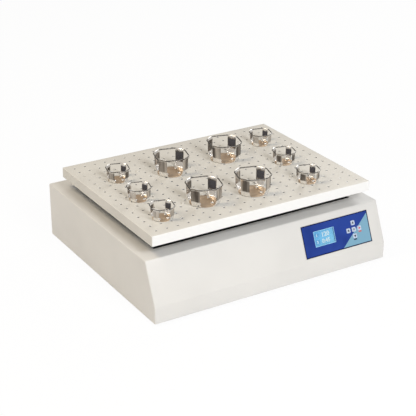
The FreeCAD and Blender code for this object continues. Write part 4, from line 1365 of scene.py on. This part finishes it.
@dataclass
class FlaskClamp:
    """A four-armed clamp with its wire hoop, screws, and dark pads that stand in for a dark reflection on
    two arms.

    Attributes:
        size: Large or small.
        count: How many there are.
        floor_radius: Radius of its round floor.
        arm_width: Width of an arm.
        hoop_across: The hoop across its flats.
        hoop_cut: How far each corner of the hoop's square is cut off.
        hoop_height: Height of the wire above the tray.
        wire: Diameter of the wire.
        knee_height: Height at which an arm turns upright.
        sheet: Thickness of the sheet.
        arm_share: Thickness of an arm, as a share of the sheet's.
        lip_share: How far an arm's lip reaches over the wire, as a share of the wire.
        bend_share: Rounding of the hoop's bends, as a share of its width.
        rings: Widths of the floor's rim, slope and ring, as shares of its radius.
        fit: Gap between the hoop and an arm.
        turn: How far the clamp is turned, in degrees.
        padded: Numbers of the arms that carry a dark pad on their inner side, a painted dark reflection
            there.
        pad_half: Half a pad's width, as a share of the arm's.
        pad_span: Foot and top of a pad, as shares of the hoop's height.
        screw_share: Where the screws stand, as a share of the floor's radius.
        screw_radius: Radius of a screw's head.
        screw_height: Height of a screw's head.
    """

    size: ClampSize
    count: int
    floor_radius: float
    arm_width: float
    hoop_across: float
    hoop_cut: float
    hoop_height: float
    wire: float
    knee_height: float
    sheet: float = 1.5 * MM
    arm_share: float = 0.92
    lip_share: float = 0.92
    bend_share: float = 0.045
    rings: Triple = (0.45, 0.03, 0.2)
    fit: float = 0.1 * MM
    turn: float = 30.0
    padded: tuple[int, ...] = (0, 2)
    pad_half: float = 0.44
    pad_span: tuple[float, float] = (0.4, 0.84)
    screw_share: float = 0.65
    screw_radius: float = 4 * MM
    screw_height: float = 3 * MM

    def arm(self) -> Piece:
        """One arm as a thin bent skin that is given its thickness last.

        Returns:
            The arm, along +X.
        """
        half = self.arm_width / 2
        foot, knee = self.sheet * (1 - self.arm_share) / 2, self.knee_height
        tip = self.hoop_across / 2 - self.wire / 2 - self.fit
        lip = self.hoop_height + self.wire / 2 + self.fit
        start = self.floor_radius - half
        bends = [(self.floor_radius + 1.5 * MM, foot), (tip - 0.6 * MM, knee), (tip, lip)]
        corners = [*bends, (tip + self.wire * self.lip_share, lip)]
        arm = added("arm", bpy.ops.mesh.primitive_plane_add, size=1)
        end = corners[0][0]
        with editing(arm):
            bpy.ops.transform.resize(value=(end - start, self.arm_width, 1))
            bpy.ops.transform.translate(value=((start + end) / 2, 0, foot))
            pick(Kind.EDGE, every(lambda p: near(p.x, end)))
            for (x0, z0), (x1, z1) in zip(corners, corners[1:]):
                draw_out(x1 - x0, 0, z1 - z0)
            across = runs(1, half)
            pick(
                Kind.EDGE,
                lambda places: across(places)
                and any(all(near(p.x, x) and near(p.z, z) for p in places) for x, z in bends),
            )
            soften(min(3.0 * MM, knee * 0.3), 4)
            agree()
        return arm

    def parts(self) -> list[Piece]:
        """Turn the round floor, and set four copies of the arm round it.

        Returns:
            The floor and the arms, at the origin.
        """
        arm = self.arm()
        turned_up(arm, self.knee_height / 2)
        thickened(arm, self.sheet * self.arm_share, 1.0)
        broken(arm, 0.35 * MM)
        radius = self.floor_radius
        floor = rod("clamp_floor", radius, 0.0, self.sheet, 56)
        with editing(floor):
            soften_level(self.sheet, 0.4 * MM)
            pick(Kind.FACE, at_level(self.sheet))
            rim, slope, ring = (radius * share for share in self.rings)
            dish(rim, slope, 0.35 * MM)
            bpy.ops.mesh.inset(thickness=ring)
        return [floor, *self.around(arm, range(4))]

    def pad(self) -> Piece:
        """A thin ribbed dark pad on the inner side of an upright arm, standing in for a dark reflection.

        Returns:
            The pad, on the arm along +X.
        """
        inner = self.hoop_across / 2 - self.wire / 2 - self.sheet
        half = self.arm_width * self.pad_half
        low, high = (self.hoop_height * share for share in self.pad_span)
        face = inner - 0.9 * MM
        pad = block("pad", (face, -half, low), (inner + 0.2 * MM, half, high))
        with editing(pad):
            pick(Kind.EDGE, runs(0, 0.5 * MM))
            soften(1.6 * MM, 3)
            pick(Kind.EDGE, every(lambda p: near(p.x, face)))
            soften(0.3 * MM)
        return smoothed(pad)

    def around(self, piece: Piece, numbers: Sequence[int]) -> list[Piece]:
        """Set copies of a piece round the clamp at some of its arms, and drop the piece itself."""
        turns = [FULL_TURN * number / 4 + math.radians(self.turn) for number in numbers]
        return spread(piece, [Matrix.Rotation(turn, 4, "Z") for turn in turns])

    def hoop(self) -> Piece:
        """Bend the wire: a square with its corners cut and its bends rounded, swept by the wire.

        Returns:
            The hoop at the origin.
        """
        place = (0, 0, self.hoop_height)
        hoop = added("hoop", bpy.ops.mesh.primitive_plane_add, size=self.hoop_across, location=place)
        with editing(hoop):
            for cut, segments in ((self.hoop_cut, 1), (self.hoop_across * self.bend_share, 3)):
                pick(Kind.POINT, lambda places: True)
                bpy.ops.mesh.bevel(offset=cut, segments=segments, affect="VERTICES")
            bpy.ops.mesh.select_all(action="SELECT")
            bpy.ops.mesh.delete(type="ONLY_FACE")
        select(hoop)
        bpy.ops.object.convert(target="CURVE")
        curve = bpy.context.object.data
        curve.bevel_depth = self.wire / 2
        curve.bevel_resolution = 3
        bpy.ops.object.convert(target="MESH")
        hoop = bpy.context.object
        hoop.data.transform(Matrix.Rotation(math.radians(self.turn), 4, "Z"))
        return smoothed(hoop, 60)

    def screws(self) -> list[Piece]:
        """Four pan-head screws with a socket, at the feet of the arms.

        Returns:
            The screws at the origin of the clamp.
        """
        high = self.sheet + self.screw_height
        head = rod("screw", self.screw_radius, self.sheet, high, 16)
        with editing(head):
            soften_level(high, 1.3 * MM, 3)
            pick(Kind.FACE, at_level(high))
            bpy.ops.mesh.inset(thickness=0.7 * MM)
            push(1.4 * MM)
        head.data.transform(Matrix.Translation((self.floor_radius * self.screw_share, 0, 0)))
        return self.around(smoothed(head), range(4))

    def build(self, finishes: Finishes) -> list[Piece]:
        """Make all clamps of this size.

        Args:
            finishes: The shaker's materials.

        Returns:
            The screws, which are joined with those of the other size.
        """
        name = self.size.value
        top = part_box("platform_tray")[1].z
        steel = ArmSteel(f"{name}_arm_steel", top + self.knee_height, top + self.hoop_height).make()
        floor, *arms = self.parts()
        parts = [dressed(floor, finishes.floor), *(dressed(arm, steel) for arm in arms)]
        clamp = smoothed(joined(f"{name}_clamp", parts), 40)
        # Dark pads on two arms: a painted reflection made as pieces.
        pads = dressed(joined(f"{name}_pads", self.around(self.pad(), self.padded)), finishes.pad)
        hoop = dressed(self.hoop(), finishes.wire)
        screws = self.screws()
        hoops, heads, dark_pads = [], [], []
        for number in range(1, self.count + 1):
            node = f"flask_clamp_{name}_{number}"
            place = middle_of(node)
            place.z = top
            move = Matrix.Translation(place)
            handed(copied(clamp, f"{name}_clamp_{number}", move), "platform", "clamp_steel", node)
            hoops.append(copied(hoop, f"{name}_hoop_{number}", move))
            dark_pads.append(copied(pads, f"{name}_pads_{number}", move))
            heads += [copied(screw, f"{name}_{number}_{screw.name}", move) for screw in screws]
        for spare in (clamp, hoop, pads, *screws):
            bpy.data.objects.remove(spare)
        handed(joined(f"{name}_grip_pads", dark_pads), "platform", "foot_rubber")
        handed(joined(f"{name}_hoops", hoops), "platform", "hoop_steel", f"clamp_hoops_{name}")
        return heads


@dataclass
class ControlPanel:
    """The blue control panel on the slant, with its display and keys, measured in the slant's own frame.

    Attributes:
        plane: The slant's own frame.
        low: Lower edge of the panel's face.
        high: Its upper edge.
        left: Its left edge.
        right: Its right edge.
        proud: How far the face stands out.
        wedge: Lower and upper end of the pale wedge's slanting side.
        display: Display's left, right, lower and upper edge.
        bezel_rim: Width of the frame round the display.
        figure_level: Where the display's figures lie, out of the slant.
        keys: Middle of the group of keys.
        key_pitch: Spacing of the keys.
        key_size: Width of a key.
        key_front: How far a key stands out.
        key_back: How deep it reaches.
        key_lip: How far the rim that keeps it in reaches beyond it.
        key_rim: Thickness of that rim.
        sign_level: Where the keys' signs lie, out of the slant.
        bars: Places of the painted shadow bar under the lowest key and of the red bar, in key pitches from
            the middle key.
        bar_size: Length and height of a bar.
        places: Column and row of each key.
    """

    plane: Matrix
    low: float
    high: float
    left: float = 98 * MM
    right: float = 310 * MM
    proud: float = 0.5 * MM
    wedge: tuple[tuple[float, float], ...] = ((218.8 * MM, 15.9 * MM), (306.4 * MM, 88.8 * MM))
    display: tuple[float, float, float, float] = (132.75 * MM, 197.25 * MM, 36.25 * MM, 76.75 * MM)
    bezel_rim: float = 1.1 * MM
    figure_level: float = -3.85 * MM
    keys: tuple[float, float] = (258.5 * MM, 55.5 * MM)
    key_pitch: float = 17.5 * MM
    key_size: float = 12 * MM
    key_front: float = 1.9 * MM
    key_back: float = 4 * MM
    key_lip: float = 1.45 * MM
    key_rim: float = 1.5 * MM
    sign_level: float = 1.75 * MM
    bars: tuple[tuple[float, float], ...] = ((0.0, -1.5), (1.08, -0.52))
    bar_size: tuple[float, float] = (9.6 * MM, 3.2 * MM)
    places: dict[str, tuple[int, int]] = field(
        default_factory=lambda: {
            "key_up": (0, 1),
            "key_left": (-1, 0),
            "key_centre": (0, 0),
            "key_right": (1, 0),
            "key_down": (0, -1),
        }
    )

    def slant(self, shader: Shader) -> tuple[Value, Value]:
        """Where a point of the panel lies on the slant.

        Args:
            shader: The material in the making.

        Returns:
            The distance across, and up the slant.
        """
        x, y, z = shader.axes()
        up = self.plane.to_3x3() @ Vector((0, 1, 0))
        foot = self.plane.translation
        return x, (y - foot.y) * up.y + (z - foot.z) * up.z

    def key_place(self, name: str) -> tuple[float, float]:
        """Middle of a key."""
        across, up = self.places[name]
        return self.keys[0] + across * self.key_pitch, self.keys[1] + up * self.key_pitch

    def key(self, name: str) -> Piece:
        """Shape one key: a softened cap with a shallow dish, and the rim that keeps it in.

        Args:
            name: The key's node.

        Returns:
            The key in its place.
        """
        x, y = self.key_place(name)
        half = self.key_size / 2
        front, back = self.key_front, -self.key_back
        cap = block(f"{name}_cap", (x - half, y - half, back), (x + half, y + half, front))
        with editing(cap):
            pick(Kind.EDGE, runs(2, 1 * MM))
            soften(2.2 * MM, 4)
            pick(Kind.FACE, at_level(back))
            push(0)
            scale = (half + self.key_lip) / half
            bpy.ops.transform.resize(value=(scale, scale, 1), center_override=(x, y, back))
            push(self.key_rim)
            soften_level(front, 0.5 * MM, 3)
            pick(Kind.FACE, at_level(front))
            dish(0.7 * MM, 0.6 * MM, 0.25 * MM)
        cap.data.transform(self.plane)
        return smoothed(cap, 50)

    def mark(self, name: str) -> Piece:
        """The sign on a key: an arrow head for each way, and a ring on the middle key.

        Args:
            name: The key's node.

        Returns:
            The sign in its place.
        """
        across, up = self.places[name]
        if across == up == 0:
            sign = flat_ring(f"{name}_sign", 2.0 * MM, 0.62 * MM)
        else:
            sizes = {"vertices": 3, "radius1": 4.3 * MM, "radius2": 4.0 * MM, "depth": 0.4 * MM}
            sign = added(f"{name}_sign", bpy.ops.mesh.primitive_cone_add, **sizes)
            with editing(sign):
                pick(Kind.EDGE, runs(2, 0.1 * MM))
                soften(0.4 * MM)
            sign.data.transform(Matrix.Rotation(math.atan2(up, across) - math.pi / 2, 4, "Z"))
        place = (*self.key_place(name), self.sign_level)
        sign.data.transform(self.plane @ Matrix.Translation(place))
        return sign

    def bezel(self) -> Piece:
        """The pale frame round the display.

        Returns:
            The frame in its place.
        """
        left, right, low, high = self.display
        rim = self.bezel_rim
        bezel = block("display_bezel", (left, low, 0.2 * MM), (right, high, self.proud + 0.35 * MM))
        carved(bezel, block("bezel_cutter", (left + rim, low + rim, -MM), (right - rim, high - rim, 3 * MM)))
        broken(bezel, 0.15 * MM)
        bezel.data.transform(self.plane)
        return bezel

    def digits(self, text: str, size: float, x: float, y: float) -> Piece:
        """Plain figures on the display.

        Args:
            text: The figures.
            size: Their height.
            x: Left edge, from the display's.
            y: Foot, from the display's.

        Returns:
            The figures as a mesh.
        """
        select()
        bpy.ops.object.text_add()
        writing = bpy.context.object.data
        writing.body = text
        writing.size = size
        writing.extrude = 0.08 * MM
        writing.offset = 0.5 * MM
        writing.resolution_u = 3
        bpy.ops.object.convert(target="MESH")
        figures = started("figures_" + text.replace(":", "_"))
        place = (self.display[0] + x, self.display[2] + y, self.figure_level)
        figures.data.transform(self.plane @ Matrix.Translation(place))
        return figures

    def build(self, finishes: Finishes) -> None:
        """Make the keys, signs, display and printed face.

        Args:
            finishes: The shaker's materials.
        """
        dress(PanelPrint(self).make(), "control_panel")
        dress(DisplayGlow(self).make(), "lcd_module")
        dress(DisplayWindow().make(), "lcd_window")
        dress(finishes.board, "display_board")
        dress(finishes.black, "key_switches")
        dark, red = Ink("dark_ink", srgb(24, 28, 36)).make(), Ink("red_ink", srgb(206, 84, 80)).make()
        for name in self.places:
            handed(dressed(self.key(name), finishes.cap), name, "key_plastic", name)
            handed(dressed(self.mark(name), red if name == "key_right" else dark), name, "key_plastic")
        pale = Ink("bezel_pale", srgb(160, 220, 248)).make()
        handed(dressed(self.bezel(), pale), "housing", "lcd_case")
        rows = [
            self.digits("120", 17 * MM, 26 * MM, 22 * MM),
            self.digits("0:45", 15 * MM, 25 * MM, 6 * MM),
            self.digits("1", 9 * MM, 9.5 * MM, 25 * MM),
            self.digits("2", 9 * MM, 9.5 * MM, 8 * MM),
        ]
        figures = dressed(joined("display_figures", rows), Ink("pale_figures", srgb(236, 244, 240)).make())
        handed(figures, "housing", "lcd_case")


@dataclass
class Back:
    """The fittings on the back: screws, inlet and rocker switch, and the tray's screws.

    Attributes:
        tilt: Half the swing of the rocker, in degrees.
        sign_rise: How far the rocker's signs stand from its middle.
        sign_proud: How far the bar stands out.
        bar_half: Half the bar's width.
        bar_tall: Half the bar's height.
    """

    tilt: float = 7.0
    sign_rise: float = 5.5 * MM
    sign_proud: float = 0.2 * MM
    bar_half: float = 0.6 * MM
    bar_tall: float = 2.4 * MM

    def screw_heads(self, node: str, name: str, lying: bool) -> Piece:
        """Dished hexagon screws in the places of a node's plain ones.

        Args:
            node: The CAD node.
            name: Name of the new piece.
            lying: Whether they point backwards instead of up.

        Returns:
            The heads as one piece.
        """
        heads = []
        for number, (low, high) in enumerate(islands(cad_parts[node])):
            size, foot = high - low, (low + high) / 2
            depth, tall = (size.y, size.z) if lying else (size.z, size.y)
            head = rod(f"{name}_{number}", max(size.x, tall) / 2, 0.0, depth, 6)
            with editing(head):
                soften_level(depth, 0.5 * MM)
                pick(Kind.FACE, at_level(depth))
                dish(0.5 * MM, 0.5 * MM, 0.3 * MM)
            if lying:
                foot.y = low.y
                head.data.transform(Matrix.Rotation(-math.pi / 2, 4, "X"))
            else:
                foot.z = low.z
            head.data.transform(Matrix.Translation(foot))
            heads.append(head)
        return smoothed(joined(name, heads), 40)

    def rocker_signs(self) -> Piece:
        """A bar on the rocker's upper face, which is upright at rest, and a ring on the lower one.

        Returns:
            The two signs as one piece.
        """
        low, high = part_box("power_rocker")
        middle = middle_of("power_rocker")
        lean = math.radians(2 * self.tilt)

        def on_face(level: float) -> Matrix:
            """The place on the rocker's face at a height."""
            depth = (min(level, middle.z) - low.z) * math.tan(lean)
            return Matrix.Translation((middle.x, high.y - depth, level))

        half = Vector((self.bar_half, self.sign_proud, self.bar_tall))
        bar = block("bar", -half, half)
        with editing(bar):
            pick(Kind.EDGE, runs(1, self.sign_proud))
            soften(0.3 * MM)
        bar.data.transform(on_face(middle.z + self.sign_rise))
        ring = flat_ring("ring", 2.1 * MM, 0.55 * MM)
        turn = Matrix.Rotation(lean - math.pi / 2, 4, "X")
        ring.data.transform(on_face(middle.z - self.sign_rise) @ turn)
        return joined("rocker_signs", [bar, ring])

    def build(self, finishes: Finishes) -> None:
        """Make the screws and the signs, and dress the fittings.

        Args:
            finishes: The shaker's materials.
        """
        rear = dressed(self.screw_heads("rear_screws", "rear_screw_heads", True), finishes.screw)
        handed(rear, "housing", "screw_steel", "rear_screws")
        tray = dressed(self.screw_heads("tray_screws", "tray_screw_heads", False), finishes.platform)
        handed(tray, "platform", "screw_steel", "tray_screws")
        handed(dressed(self.rocker_signs(), finishes.sign), "rocker", "key_plastic")
        dress(finishes.black, "power_inlet", "fuse_drawer", "switch_frame", "power_rocker")


@dataclass
class Works:
    """What runs inside the housing: nodes that stay as they are and get their finish."""

    def build(self, finishes: Finishes) -> None:
        """Dress the drive and the electronics.

        Args:
            finishes: The shaker's materials.
        """
        dress(finishes.frame, "bearing_frame", "motor_bracket")
        dress(finishes.iron, "shaft_bearings")
        dress(finishes.shaft, "crank_shaft", "idler_shaft_left", "idler_shaft_right", "motor_shaft")
        dress(finishes.pulley, "driven_pulley", "motor_pulley")
        dress(finishes.belt, "drive_belt")
        dress(finishes.motor, "motor_body")
        dress(finishes.sheet, "power_supply")
        dress(finishes.board, "driver_board")
        dress(finishes.screw, "board_standoffs")
        log.info("inner works dressed")


@dataclass
class Studio:
    """Floor, backdrop, soft light and the camera.

    Attributes:
        target: The point that the camera and the lamps look at.
        azimuth: The camera's degrees round the object.
        elevation: Its degrees above the horizon.
        distance: Its metres from the target.
        lens: Its focal length on a 36 mm sensor.
        paint: Colour of the floor where it takes the object's shadow.
        seen: How white the floor shows itself, from nought to one.
        room: Tint of the light that comes from all round.
        dim: Strength of that light.
    """

    target: Triple = (-0.0007, 0.033, 0.1025)
    azimuth: float = -31.19
    elevation: float = 24.5
    distance: float = 3.274
    lens: float = 104.6
    paint: Triple = (0.92, 0.92, 0.92)
    seen: float = 0.95
    room: Triple = (1.0, 0.985, 0.965)
    dim: float = 0.30

    def hung(self, data: bpy.types.ID, place: Sequence[float]) -> Piece:
        """Put a camera or a lamp in its place, and aim it at the target.

        Args:
            data: The camera or the lamp.
            place: Where it goes.

        Returns:
            Its object.
        """
        thing = bpy.data.objects.new(data.name, data)
        thing.location = place
        thing.rotation_mode = "QUATERNION"
        thing.rotation_quaternion = (Vector(self.target) - Vector(place)).to_track_quat("-Z", "Y")
        bpy.context.scene.collection.objects.link(thing)
        return thing

    def camera(self) -> None:
        """Set the camera at the photograph's angle."""
        turn, rise = math.radians(self.azimuth), math.radians(self.elevation)
        back = Vector((math.sin(turn) * math.cos(rise), -math.cos(turn) * math.cos(rise), math.sin(rise)))
        data = bpy.data.cameras.new("camera")
        data.lens = self.lens
        data.sensor_width = 36.0
        bpy.context.scene.camera = self.hung(data, Vector(self.target) + back * self.distance)

    def lamp(self, name: str, place: Triple, size: float, watts: float, colour: Triple) -> None:
        """Hang a soft square lamp.

        Args:
            name: Name of the lamp.
            place: Where it hangs.
            size: Width of its face.
            watts: Its power.
            colour: Its tint.
        """
        data = bpy.data.lights.new(name, "AREA")
        data.shape = "SQUARE"
        data.size = size
        data.energy = watts
        data.color = colour
        self.hung(data, place)

    def floor(self) -> None:
        """Lay a wide pale floor that is white to the camera apart from the object's soft shadow."""
        floor = added("floor", bpy.ops.mesh.primitive_plane_add, size=60)
        material = bpy.data.materials.new("floor_white")
        material.use_nodes = True
        nodes = Nodes(material.node_tree)
        path = nodes.node("ShaderNodeLightPath", {}, {})
        rays = ("Is Camera Ray", "Is Glossy Ray", "Is Transmission Ray")
        camera, gloss, glass = (Value(nodes, path.outputs[ray]) for ray in rays)
        matt = nodes.add("ShaderNodeBsdfDiffuse", {}, {"Color": self.paint})
        white = nodes.add("ShaderNodeEmission", {}, {"Color": (1.0, 1.0, 1.0)})
        blend = {0: camera.most(gloss).most(glass) * self.seen, 1: matt, 2: white}
        nodes.node("ShaderNodeOutputMaterial", {}, {0: nodes.add("ShaderNodeMixShader", {}, blend)})
        dressed(floor, material)

    def world(self) -> None:
        """A white room that lights the object less than it shows."""
        world = bpy.data.worlds.new("white_room")
        bpy.context.scene.world = world
        world.use_nodes = True
        nodes = Nodes(world.node_tree)
        dim = nodes.add("ShaderNodeBackground", {}, {"Color": self.room, "Strength": self.dim})
        white = nodes.add("ShaderNodeBackground", {}, {"Color": (1.0, 1.0, 1.0), "Strength": 1.0})
        camera = nodes.add("ShaderNodeLightPath", {}, {}, "Is Camera Ray")
        blend = nodes.add("ShaderNodeMixShader", {}, {0: camera, 1: dim, 2: white})
        nodes.node("ShaderNodeOutputWorld", {}, {0: blend})

    def build(self) -> None:
        """Set up the whole studio."""
        bpy.context.scene.view_settings.view_transform = "Standard"
        self.camera()
        self.floor()
        self.world()
        self.lamp("key_light", (0.05, -2.65, 2.05), 1.0, 60.0, (0.985, 0.99, 1.0))
        self.lamp("back_light", (2.3, 1.5, 2.0), 1.2, 21.0, (1.0, 0.985, 0.96))
        self.lamp("side_light", (-1.75, 0.3, 2.8), 1.2, 44.0, (1.0, 0.86, 0.67))
        log.info("studio ready")


def main() -> None:
    """Build the shaker's pieces in order."""
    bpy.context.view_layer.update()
    Studio().build()
    finishes = Finishes()
    housing = Housing()
    housing.build(finishes)
    Tray().build(finishes)
    large = FlaskClamp(
        ClampSize.LARGE,
        count=4,
        floor_radius=37 * MM,
        arm_width=25 * MM,
        hoop_across=92.5 * MM,
        hoop_cut=31 * MM,
        hoop_height=50 * MM,
        wire=3 * MM,
        knee_height=15 * MM,
    )
    small = FlaskClamp(
        ClampSize.SMALL,
        count=6,
        floor_radius=24.6 * MM,
        arm_width=16.6 * MM,
        hoop_across=62 * MM,
        hoop_cut=20.7 * MM,
        hoop_height=33.5 * MM,
        wire=2.4 * MM,
        knee_height=10 * MM,
    )
    heads = large.build(finishes) + small.build(finishes)
    screws = dressed(joined("clamp_screw_heads", heads), finishes.screw)
    handed(screws, "platform", "screw_steel", "clamp_screws")
    ControlPanel(housing.plane(), housing.panel_low, housing.panel_high).build(finishes)
    Back().build(finishes)
    Works().build(finishes)


if __name__ == "__main__":
    main()
